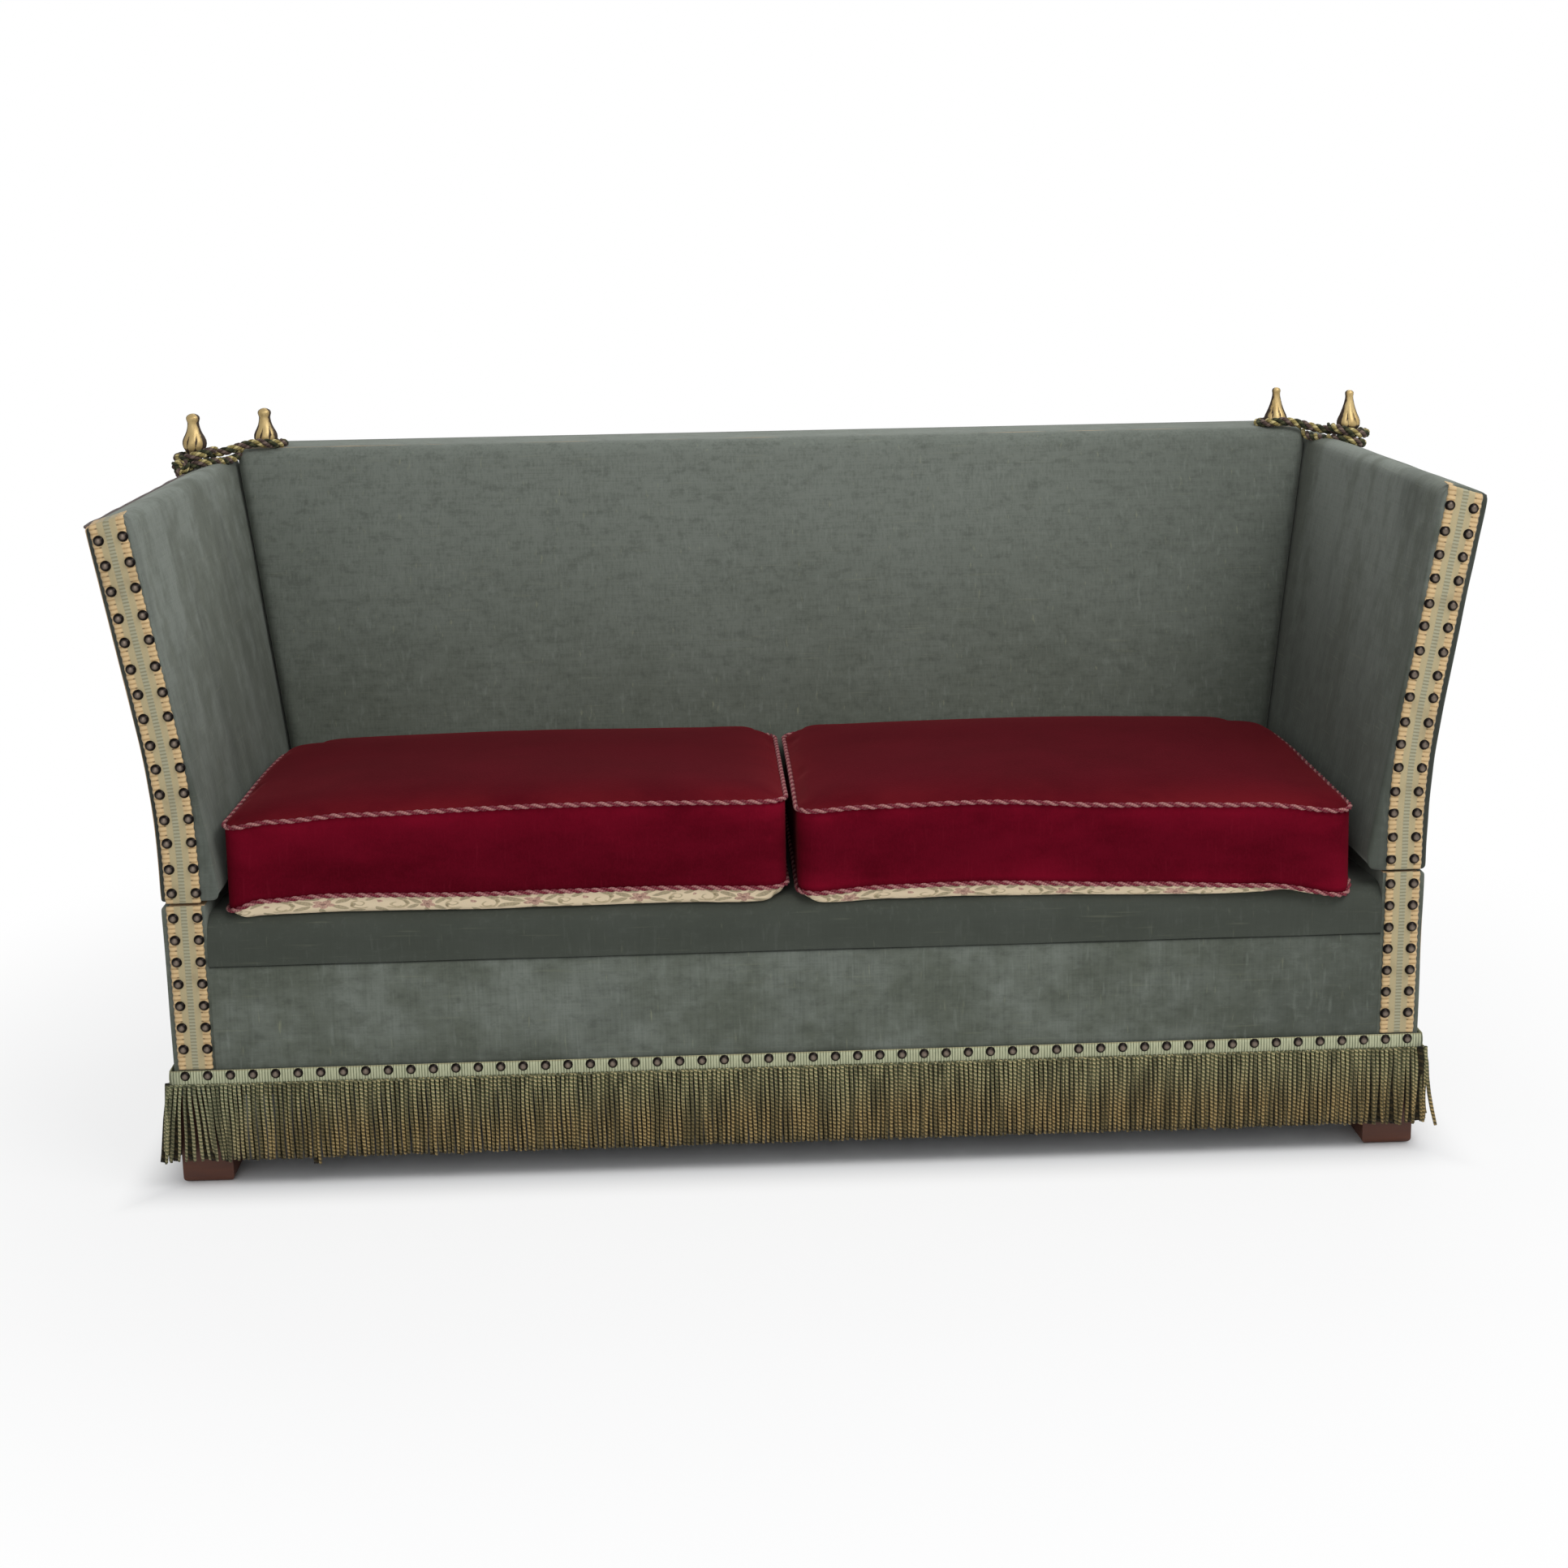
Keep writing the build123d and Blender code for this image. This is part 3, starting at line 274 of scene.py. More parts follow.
def green_velvet(name, brushed=0.5, along=(1, 1, 1), low=(0.5, 0.0), high=(0.9, 0.0),
                 shade=0.0, rim=0.0, dim=0.0, seam=None):
    """Slubbed grey-green velvet: woven threads, pale slubs, brushed patches of pile.

    brushed is how strongly the patches show and along stretches them. low and high each give a
    height and how much painted light lies on the pile there, below zero for painted shade. shade
    paints shade over all of it, rim paints shade where the "rim" attribute marks and dim paints
    shade over the end towards +X. Above seam, a height, the cloth is painted nearly black as the
    shade in the seam.
    """
    cloth = bpy.context.scene.sofa_cloth
    s = Shader(name)
    x, _, z = s.split("Object")
    patches = s.noise(s.place(along), 5.5, 4.0, 0.6)
    fine = s.noise(s.place(), 34.0, 3.0)
    worn = (patches * 0.75 + fine * 0.25).smooth(0.40, 0.66)
    color = s.mix(worn * brushed, cloth.velvet, cloth.velvet_light)
    lying = s.noise(s.place(along), 9.0, 3.0).smooth(0.5, 0.72)
    color = s.mix(lying * 0.35 * brushed, color, cloth.velvet_shade)
    # Painted light and shade: by height, then over all of it by shade and towards +X by dim
    lit = z.smooth(low[0], high[0]) * (high[1] - low[1]) + low[1]
    color = s.mix(lit, color, cloth.velvet_light)
    color = s.mix(lit * -1.0, color, cloth.velvet_shade)
    color = s.mix(x.smooth(0.36, 0.80) * dim + shade, color, cloth.velvet_shade)

    # The weave shows less in painted shade and where the pile has been rubbed
    weave = (1 - 0.85 * shade) * (0.5 if rim else 1.0)
    pale = tuple(c * 1.3 for c in cloth.velvet_light)
    threads = s.grain(300, 16) * 0.62 + s.grain(14, 460) * 0.38
    mottle = s.grain(38, 74, 6.0, 0.74)
    nubs = s.grain(135, 22, 3.0).smooth(0.58, 0.74)
    slubs = s.grain(190, 24).smooth(0.66, 0.80)
    wide_slubs = s.grain(12, 240, 1.0).smooth(0.66, 0.80)
    color = s.mix(threads.smooth(0.54, 0.36) * 0.20, color, cloth.velvet_shade)
    color = s.mix(mottle.smooth(0.52, 0.32) * (0.30 * weave), color, cloth.velvet_shade)
    color = s.mix(mottle.smooth(0.52, 0.72) * (0.18 * weave), color, pale)
    color = s.mix(nubs * (0.22 * weave), color, pale)
    color = s.mix(slubs * (0.34 * weave), color, cloth.slub)
    color = s.mix(wide_slubs * 0.10, color, cloth.slub)
    # Painted shade: nearly black in the seam, above the given height
    if seam is not None:
        line = z.smooth(seam - 0.0046, seam - 0.0016)
        color = s.mix(line * 0.8, color, (0.010, 0.012, 0.010))
    # Painted shade on what the rim attribute marks: the strip of an arm's front outside the braid
    if rim:
        color = s.mix(s.attribute("rim") * rim, color, tuple(c * 0.6 for c in cloth.velvet_shade))
    relief = threads + slubs * 0.4 + wide_slubs * 0.3
    return s.finish(color, 0.94 - worn * 0.10, relief, cloth.nap, 0.6, Specular_IOR_Level=0.2,
                    Sheen_Weight=0.30, Sheen_Roughness=0.42, Sheen_Tint=(0.66, 0.70, 0.62, 1))


# Painted light and shade on the pile of each arm, low and high, as green_velvet takes it
ARM_LIGHT = {"left": ((0.44, -0.56), (0.90, 0.08)), "right": ((0.50, -0.74), (0.93, -0.08))}


def arm_velvet(side):
    """The same velvet where sitters brushed the pile of an arm, in painted light and shade."""
    return finish_of(f"{side}_arm_velvet", lambda name: green_velvet(
        name, 1.7, (1.0, 1.3, 0.34), *ARM_LIGHT[side], rim=0.8))


def crimson_velvet(name, glow, mottled, unshaded=1.0, bright=(0.215, 0.0040, 0.0185)):
    """Deep cotton velvet whose pile lightens where it is pressed, with painted sheen by the seams.

    glow is its sheen, mottled how far the pile varies, tone how much of it is out of the painted
    shade, and bright the colour of the painted sheen and the brushed pile.
    """
    cloth = bpy.context.scene.sofa_cloth
    s = Shader(name)
    pile = s.noise(s.place((1, 1, 0.7)), 420.0, 2.0)
    mottle = s.noise(s.place((1, 1, 2.4)), 9.0, 4.0, 0.62)
    lines = s.grain(320, 14, 1.0)
    up = (mottle * 0.7 + pile * 0.3).smooth(0.30, 0.66) * mottled + (1 - mottled)
    color = s.mix(up, cloth.crimson_deep, cloth.crimson)
    color = s.mix(lines.smooth(0.6, 0.8) * 0.16, color, (0.17, 0.010, 0.022))
    # Painted shade: the copy on the cushions' tops is darkened here
    color = s.mix(1 - unshaded, color, (0.020, 0.0030, 0.0030))
    # Painted sheen beside the seams, from the rim attribute, and brushed patches of pile
    drift = s.noise(s.place((1, 1, 1.7)), 6.5, 4.0, 0.6)
    beside_seam = s.attribute("rim") * (drift.smooth(0.30, 0.62) * 0.75 + 0.25)
    brushed = beside_seam + drift.smooth(0.54, 0.78) * 0.22 * mottled
    color = s.mix(brushed * 0.80, color, bright)
    return s.finish(color, 0.94, pile + lines * 0.3, cloth.nap, 0.55, Specular_IOR_Level=0.03,
                    Sheen_Weight=glow, Sheen_Roughness=0.40, Sheen_Tint=(0.80, 0.16, 0.17, 1))


# The print's motif, in metres: leaves and petals as x, y, long and short half axis and turn,
# stems as x, y, radius, width and side
LEAVES = (
    (0.030, 0.009, 0.0085, 0.0034, 0.6), (0.027, 0.019, 0.0080, 0.0032, -0.5),
    (0.058, 0.021, 0.0085, 0.0034, 0.5), (0.060, 0.009, 0.0080, 0.0032, -0.6),
    (0.043, 0.028, 0.0060, 0.0028, 1.4), (0.036, 0.003, 0.0070, 0.0028, 0.2),
    (0.003, 0.026, 0.0065, 0.0028, 0.9), (0.082, 0.005, 0.0060, 0.0027, -0.8),
    (0.017, 0.004, 0.0060, 0.0028, 0.3), (0.072, 0.028, 0.0065, 0.0028, -0.3),
    (0.051, 0.004, 0.0055, 0.0024, -0.9), (0.068, 0.004, 0.0045, 0.0022, 0.8),
    (0.021, 0.011, 0.0040, 0.0020, 1.3), (0.068, 0.017, 0.0040, 0.0020, -1.2),
)
STEMS = (
    (0.012, 0.014, 0.0085, 0.0017, 1), (0.013, 0.016, 0.0042, 0.0012, -1),
    (0.074, 0.016, 0.0075, 0.0016, -1), (0.073, 0.014, 0.0036, 0.0011, 1),
)
BLOSSOM = (0.044, 0.0145)
BUD = (0.001, 0.010, 0.0030, 0.0024, 0.4)
PETAL_TURNS = (0.3, 1.55, 2.8, 4.05, 5.3)
PRINT_REPEAT = (0.142, 0.041)
MOTIF_SPAN = (0.086, 0.034)


def floral_cotton(name):
    """Cream cotton with a plain scroll and blossom print in taupe, olive and rose."""
    cloth = bpy.context.scene.sofa_cloth
    s = Shader(name)
    u, v, _ = s.split("UV")
    ripple = s.noise(s.place(), 45.0, 2.0) - 0.5
    drift = s.noise(s.place(), 9.0, 1.0) - 0.5
    row = v / PRINT_REPEAT[1]
    shifted = (u + ripple * 0.010 + drift * 0.05) / PRINT_REPEAT[0] + (row - row.fract()) * 0.5
    a = shifted.fract() * MOTIF_SPAN[0]
    b = (row + ripple * 0.12).fract() * MOTIF_SPAN[1]

    def blob(x, y, long, short, turn):
        c, d = math.cos(turn), math.sin(turn)
        p = (a - x) * (c / long) + (b - y) * (d / long)
        q = (b - y) * (c / short) - (a - x) * (d / short)
        return (p * p + q * q).smooth(1.2, 0.6)

    def scroll(x, y, reach, width, side):
        away = ((a - x) * (a - x) + (b - y) * (b - y)) ** 0.5
        open_side = ((a - x) * side + (b - y) * 0.6).smooth(-0.004, 0.0)
        return (away - reach).abs().smooth(width, width * 0.4) * open_side

    def total(parts):
        whole = parts[0]
        for part in parts[1:]:
            whole = whole + part
        return whole.smooth(0.0, 1.0)

    x, y = BLOSSOM
    leaves = total([blob(*leaf) for leaf in LEAVES])
    stems = total([scroll(*stem) for stem in STEMS])
    petals = total([blob(x + 0.0052 * math.cos(k), y + 0.0050 * math.sin(k), 0.0040, 0.0031, k)
                    for k in PETAL_TURNS] + [blob(*BUD)])
    heart = blob(x, y, 0.0020, 0.0018, 0.0)
    mottle = s.noise(s.place(), 420.0, 2.0).smooth(0.35, 0.62)
    weave = s.grain(600, 600, 1.0)
    color = s.mix(weave * 0.2, cloth.cream, (0.70, 0.56, 0.38))
    for share, shape, dark, light in (
            (0.62, stems, (0.30, 0.22, 0.095), (0.45, 0.35, 0.19)),
            (0.66, leaves, (0.165, 0.13, 0.065), (0.34, 0.27, 0.14)),
            (0.70, petals, (0.24, 0.065, 0.065), (0.52, 0.25, 0.21))):
        color = s.mix(shape * share, color, s.mix(mottle, dark, light))
    color = s.mix(heart * 0.8, color, (0.17, 0.045, 0.045))
    return s.finish(color, 0.86, weave, 0.0003, 0.5, Sheen_Weight=0.1)


# Repeats of the braid along its length, in metres, in its shader and in its relief
RUNG_PITCH = 0.0046
CHAIN_PITCH = 0.0062


def braid_cloth(name):
    """Braid whose v runs across it: gold chain bands, gimp ground, sage rungs in the middle."""
    trim = bpy.context.scene.sofa_trim
    s = Shader(name)
    u, v, _ = s.split("UV")
    side = (v - 0.5).abs() * 2.0
    band = side.smooth(0.50, 0.60)
    middle = side.smooth(0.21, 0.14)
    rung = u.wave(RUNG_PITCH).smooth(0.12, 0.30)
    link = u.wave(CHAIN_PITCH).smooth(0.40, 0.24)
    yarn = s.grain(900, 900, 1.0)
    soil = s.noise(s.place(), 26.0, 3.0)
    color = s.mix(yarn * 0.5, trim.gimp, (0.50, 0.43, 0.25))
    color = s.mix(middle, color, s.mix(rung, (0.27, 0.25, 0.15), trim.sage))
    gold = s.mix(link * 0.6 + yarn * 0.4, (0.40, 0.25, 0.105), trim.gold)
    color = s.mix(band, color, gold)
    dots = u.wave(2 * CHAIN_PITCH).smooth(0.10, 0.04) * (side - 0.60).abs().smooth(0.09, 0.04)
    color = s.mix(dots * 0.75, color, (0.13, 0.10, 0.055))
    color = s.mix(soil.smooth(0.5, 0.75) * 0.35, color, (0.20, 0.15, 0.08))
    relief = yarn * 0.35 + rung * middle * 0.5
    return s.finish(color, 0.85, relief, 0.0006, 0.8, Sheen_Weight=0.12)


# The fringe's plies where they have browned near the floor, and faded at its left end
BROWNED_PLIES = ((0.105, 0.074, 0.028), (0.50, 0.35, 0.145))
FADED_PLIES = ((0.17, 0.20, 0.115), (0.40, 0.42, 0.27))


def plied(name, plies, turns_per_metre, soft=0.10, fuzz=0.35, drift=None, lower=None):
    """Twisted yarn on a tube: u round it, v along it in metres, one colour to each ply.

    soft is how far the plies blend and fuzz how many pale fibres show. drift makes single
    strands darker, as grain() takes it, and lower gives the colours that the plies have turned
    to near the floor.
    """
    s = Shader(name)
    dark = tuple(c * 0.22 for c in plies[0])
    pale = tuple(min(1, c * 1.5) for c in plies[-1])
    if lower:
        x, _, high = s.split("Object")
        browned = (high + s.grain(20, 3, 1.0) * 0.04).smooth(0.155, 0.085)
        faded = x.smooth(-0.70, -0.80) * 0.55
        plies = [s.mix(browned, one, two) for one, two in zip(plies, lower)]
        plies = [s.mix(faded, ply, sage) for ply, sage in zip(plies, FADED_PLIES)]
    u, v, _ = s.split("UV")
    twist = (u + v * turns_per_metre).fract()
    count = len(plies)
    yarn = s.grain(700, 700, 1.0)
    color = plies[0]
    for i, ply in enumerate(plies[1:], 1):
        color = s.mix(twist.smooth(i / count - soft, i / count + soft / 4), color, ply)
    color = s.mix(twist.smooth(1 - soft, 1.0), color, plies[0])
    # Painted shade in the grooves between the plies
    groove = ((twist * count).fract() - 0.5).abs()
    color = s.mix(groove.smooth(0.34, 0.5) * 0.85, color, dark)
    color = s.mix(yarn.smooth(0.55, 0.8) * fuzz, color, pale)
    if drift:
        color = s.mix(s.grain(*drift, 1.0).smooth(0.42, 0.60) * 0.60, color, dark)
    relief = (1 - groove.smooth(0.2, 0.5)) + yarn * 0.3
    return s.finish(color, 0.88, relief, 0.0008, 0.8, Sheen_Weight=0.06, Specular_IOR_Level=0.15)


def fringe_yarn(name):
    trim = bpy.context.scene.sofa_trim
    return plied(name, [trim.olive, trim.wheat], 190.0, 0.25, 0.42, (150, 7), BROWNED_PLIES)


def heading_cloth(name):
    """Woven heading of the fringe: pale bars standing side by side."""
    s = Shader(name)
    u, v, _ = s.split("UV")
    warp = s.grain(210, 40)
    bar = (u.wave(0.0038).smooth(0.46, 0.20) + warp * 1.4 - 0.55).smooth(0.0, 1.0)
    edge = (v - 0.5).abs().smooth(0.40, 0.47)
    yarn = s.grain(800, 800, 1.0)
    color = s.mix(bar * 0.75 + yarn * 0.25, (0.13, 0.15, 0.08), (0.53, 0.54, 0.35))
    color = s.mix(edge * 0.6, color, (0.30, 0.26, 0.13))
    return s.finish(color, 0.86, bar + yarn * 0.3, 0.0007, 0.8, Sheen_Weight=0.1)


def gilt(name):
    """Worn gilding, dark brown in carved hollows and in painted side shade, from an attribute."""
    s = Shader(name)
    wear = s.noise(s.place(), 150.0, 4.0, 0.65)
    rub = s.noise(s.place((1, 1, 0.5)), 60.0, 3.0)
    dark = (s.attribute("hollow_and_side_shade") + wear * 0.5 - 0.25).smooth(0.30, 0.62)
    color = s.mix(rub, (0.50, 0.32, 0.11), (0.80, 0.62, 0.30))
    color = s.mix(dark, color, (0.045, 0.026, 0.014))
    return s.finish(color, 0.42 + dark * 0.35 + wear * 0.1, wear, 0.0004, 0.5,
                    Metallic=0.55 - dark * 0.5)


def bronze(name):
    """Antique bronze nails, dark round the rim, with a painted highlight on the crown."""
    s = Shader(name)
    _, y, z = s.split("Object")
    wear = s.noise(s.place(), 420.0, 2.0)
    # The nails of the heading, below 0.170, stand 1.8 mm further out than the braids' nails
    plane = FRONT - 0.0050 - z.smooth(0.171, 0.168) * 0.0018
    # Painted highlight on the crown, where the nail stands furthest out
    crown = (plane - y).smooth(0.0, 0.0020)
    color = s.mix(crown * (0.65 + wear * 0.5), (0.010, 0.007, 0.006), (0.30, 0.235, 0.185))
    return s.finish(color, 0.30 + wear * 0.15, wear, 0.0002, 0.4, Metallic=0.85)


def stained_wood(name):
    s = Shader(name)
    grain = s.grain(14, 140, 4.0)
    rings = s.grain(3, 50)
    color = s.mix(grain * 0.7 + rings * 0.3, (0.035, 0.009, 0.005), (0.150, 0.043, 0.016))
    return s.finish(color, 0.42 + grain * 0.15, grain, 0.0004, 0.5)


def sawn_timber(name):
    s = Shader(name)
    grain = s.noise(s.place((8, 60, 60)), 1.0, 4.0)
    color = s.mix(grain, (0.38, 0.23, 0.11), (0.62, 0.45, 0.26))
    return s.finish(color, 0.7, grain, 0.0005, 0.5)


def plain_cloth(name, one, two, scale):
    s = Shader(name)
    weave = s.grain(scale, scale)
    soil = s.noise(s.place(), 12.0, 3.0)
    return s.finish(s.mix(weave * 0.6 + soil * 0.4, one, two), 0.9, weave, 0.0004, 0.6)


def brushed_metal(name, one, two):
    s = Shader(name)
    lines = s.noise(s.place((900, 20, 900)), 1.0, 2.0)
    return s.finish(s.mix(lines, one, two), 0.34 + lines * 0.2, lines, 0.0002, 0.3, Metallic=1.0)


# Making pieces
def keep(name, mesh, body, material, replaces=()):
    """Name a finished mesh, give it its finish and let it ride on its body."""
    piece = bpy.data.objects.new(name, mesh)
    bpy.context.scene.collection.objects.link(piece)
    mesh.name = name
    if material is not None:
        mesh.materials.clear()
        mesh.materials.append(material)
    for face in mesh.polygons:
        face.use_smooth = True
    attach(piece, body)
    if replaces:
        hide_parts(*replaces)
    return piece


def baked(mesh, modifiers):
    """The mesh with modifiers applied."""
    holder = bpy.data.objects.new("holder", mesh)
    bpy.context.scene.collection.objects.link(holder)
    for kind, settings in modifiers:
        made = holder.modifiers.new(kind, kind)
        for key, value in settings.items():
            setattr(made, key, value)
    bpy.context.view_layer.update()
    graph = bpy.context.evaluated_depsgraph_get()
    done = bpy.data.meshes.new_from_object(holder.evaluated_get(graph))
    bpy.data.objects.remove(holder)
    return done


def to_mesh(bm):
    mesh = bpy.data.meshes.new("piece")
    bmesh.ops.recalc_face_normals(bm, faces=bm.faces)
    bm.to_mesh(mesh)
    bm.free()
    return mesh


def thickened(bm, thickness, offset):
    """The mesh of a sheet that has been given its thickness."""
    return baked(to_mesh(bm), [("SOLIDIFY", {"thickness": thickness, "offset": offset})])


def subdivision(levels):
    return "SUBSURF", {"levels": levels, "render_levels": levels}


def grid_cube(cuts):
    """A box from 0 to 1 on each axis, cut into a grid, as a bmesh."""
    bm = bmesh.new()
    bmesh.ops.create_cube(bm, size=1.0)
    bmesh.ops.translate(bm, verts=bm.verts, vec=(0.5, 0.5, 0.5))
    for axis, count in enumerate(cuts):
        along = [e for e in bm.edges if abs((e.verts[0].co - e.verts[1].co)[axis]) > 0.5]
        if count > 1:
            bmesh.ops.subdivide_edges(bm, edges=along, cuts=count - 1, use_grid_fill=True)
    return bm


def block(cuts, place, weight_of, width, levels):
    """A box cut into a grid, laid by place(u, v, w), its marked edges rounded."""
    bm = grid_cube(cuts)
    weights = bm.edges.layers.float.new("bevel_weight_edge")
    for edge in bm.edges:
        middle = (edge.verts[0].co + edge.verts[1].co) / 2
        sides = sum(1 for c in middle if c < EDGE or c > 1 - EDGE)
        if sides >= 2:
            edge[weights] = weight_of(*middle)
    for vert in bm.verts:
        vert.co = place(*vert.co)
    bevel = {"width": width, "segments": 4, "limit_method": "WEIGHT", "use_clamp_overlap": True}
    return baked(to_mesh(bm), [("BEVEL", bevel), subdivision(levels)])


def settle(mesh, amount):
    """Move each point along its normal by amount(point, normal)."""
    bm = bmesh.new()
    bm.from_mesh(mesh)
    bm.normal_update()
    moves = [(v, v.normal * amount(v.co, v.normal)) for v in bm.verts]
    for vert, move in moves:
        vert.co += move
    bm.to_mesh(mesh)
    bm.free()
    return mesh


def distances(line):
    """How far along a line each of its points lies."""
    runs = [0.0]
    for a, b in zip(line, line[1:]):
        runs.append(runs[-1] + (b - a).length)
    return runs


def frames(line):
    """Each point of a line with two directions across it, which don't twist along the line."""
    up = None
    for i, point in enumerate(line):
        heading = (line[min(i + 1, len(line) - 1)] - line[max(i - 1, 0)]).normalized()
        if up is None:
            up = heading.orthogonal().normalized()
        up = (up - heading * up.dot(heading)).normalized()
        yield point, up, heading.cross(up)


def tube(line, radius_at, sides, phase=0.0):
    """A closed tube along a line with u round it and v along it in metres, as a bmesh."""
    bm = bmesh.new()
    uv = bm.loops.layers.uv.new("UVMap")
    rings = []
    for i, (point, up, across) in enumerate(frames(line)):
        reach = radius_at(i / (len(line) - 1))
        ring = []
        for k in range(sides):
            angle = 2 * math.pi * k / sides
            off = (up * math.cos(angle) + across * math.sin(angle)) * reach
            ring.append(bm.verts.new(point + off))
        rings.append(ring)
    runs = distances(line)
    for one, two, start, end in zip(rings, rings[1:], runs, runs[1:]):
        for k in range(sides):
            n = (k + 1) % sides
            face = bm.faces.new((one[k], one[n], two[n], two[k]))
            left, right = k / sides + phase, (k + 1) / sides + phase
            corners = ((left, start), (right, start), (right, end), (left, end))
            for loop, corner in zip(face.loops, corners):
                loop[uv].uv = corner
    bm.faces.new(list(reversed(rings[0])))
    bm.faces.new(rings[-1])
    return bm


def yarn_tube(line, radius_at, sides, ply):
    """A tube whose faces all have the finish of one ply."""
    bm = tube(line, radius_at, sides)
    for face in bm.faces:
        face.material_index = ply
    return bm


def joined(parts):
    """Several bmeshes as one."""
    whole = bmesh.new()
    for part in parts:
        mesh = bpy.data.meshes.new("part")
        part.to_mesh(mesh)
        part.free()
        whole.from_mesh(mesh)
        bpy.data.meshes.remove(mesh)
    return whole


def arm_outer_x(z, inset=0.0):
    """Outer side of the right arm at a height, moved in by the inset."""
    if z < CURVE_LOW:
        return OUTER_X - inset
    rise = z - CURVE_LOW
    radius = CURVE_RADIUS + inset
    if rise < radius * math.sin(SPLAY):
        return OUTER_X + CURVE_RADIUS - math.sqrt(radius ** 2 - rise ** 2)
    start = OUTER_X + CURVE_RADIUS - radius * math.cos(SPLAY)
    return start + (rise - radius * math.sin(SPLAY)) * math.tan(SPLAY)


def arm_inner_x(z):
    return INNER_FOOT[0] + (z - INNER_FOOT[1]) * INNER_SLOPE


def arm_top_z(x):
    """Height of the arm's sloping top at a distance from the middle."""
    slope = (INNER_HEAD[1] - ARM_TOP) / (arm_outer_x(ARM_TOP) - INNER_HEAD[0])
    return ARM_TOP + max(0.0, arm_outer_x(ARM_TOP) - abs(x)) * slope


def wobble(point, size, seed=0.0):
    """Smooth noise about zero that changes over about the given size."""
    return noise.noise(Vector((point.x, point.y, point.z)) / size + Vector((seed, seed, seed)))


def clamp(value):
    return min(1.0, max(0.0, value))


class SOFA_OT_arms(bpy.types.Operator):
    """Velvet of the two drop arms with the worn welt along their tops"""
    bl_idname = "sofa.arms"
    bl_label = "Arm covers"

    def execute(self, context):
        def weight(u, v, w):
            """How round an edge is: of the top, of the foot, then the upright ones."""
            if w > 0.999:
                return 0.42 if u < 0.01 else 1.0 if u > 0.99 else 0.08 if v > 0.99 else 0.3
            if w < 0.001:
                return 1.0 if u > 0.99 else 0.34 if u < 0.01 else 0.15
            return 0.22 if v < 0.01 else 0.55 if u > 0.99 else 0.06

        for side, way in SIDES:
            def place(u, v, w, way=way):
                top = ARM_TOP + (INNER_HEAD[1] - ARM_TOP) * u
                z = ARM_LOW + (top - ARM_LOW) * w
                x = arm_outer_x(z) * (1 - u) + arm_inner_x(z) * u
                return Vector((way * x, FRONT + (ARM_REAR - FRONT) * v, z))

            def puff(point, normal, way=way):
                inner = max(0.0, -way * normal.x)
                share = (point.z - ARM_LOW) / (ARM_TOP - ARM_LOW)
                depth = (point.y - FRONT) / (ARM_REAR - FRONT)
                swell = 0.0035 * math.sin(math.pi * clamp(share)) * math.sin(math.pi * depth)
                draped = Vector((point.x, point.y * 2.2, point.z * 0.55))
                drape = 0.0013 * wobble(draped, 0.11, way)
                dent = 0.0007 * wobble(point, 0.045, 3.1)
                under = 0.0009 * max(0.0, -normal.z)
                bulge = inner * (swell + drape * 1.3 + dent)
                return -0.0012 - under + bulge + (1 - inner) * dent * 0.4

            mesh = settle(block((2, 16, 14), place, weight, 0.0215, 2), puff)
            # The rim attribute marks painted shade on the front's strip outside the braid
            layer = mesh.attributes.new("rim", "FLOAT", "POINT")
            for value, vert in zip(layer.data, mesh.vertices):
                p = vert.co
                beyond = (abs(p.x) - arm_outer_x(p.z) + 0.012) / 0.005
                value.value = clamp(beyond) * clamp((FRONT + 0.012 - p.y) / 0.008)
            piece = keep(f"{side}_arm_velvet", mesh, f"{side}_arm", arm_velvet(side),
                         (f"{side}_arm_cover", f"{side}_arm_pad"))
            self.welt(side, way)
        return {"FINISHED"}

    def welt(self, side, way):
        """The thin worn welt along an arm's outer top edge."""
        line = []
        steps = 89
        for i in range(steps + 1):
            y = FRONT + 0.004 + (ARM_REAR - FRONT - 0.012) * i / steps
            lift = 0.0007 * wobble(Vector((y, way, 0)), 0.05)
            x = arm_outer_x(ARM_TOP) - 0.0030
            line.append(Vector((way * (x + lift), y, ARM_TOP - 0.0012 + lift)))
        bm = tube(line, lambda t: 0.0024 + 0.0003 * math.sin(40 * t), 8)
        cloth = finish_of("welt_cloth", lambda n: plain_cloth(
            n, (0.075, 0.062, 0.062), (0.19, 0.15, 0.14), 500))
        keep(f"{side}_arm_welt", to_mesh(bm), f"{side}_arm", cloth)


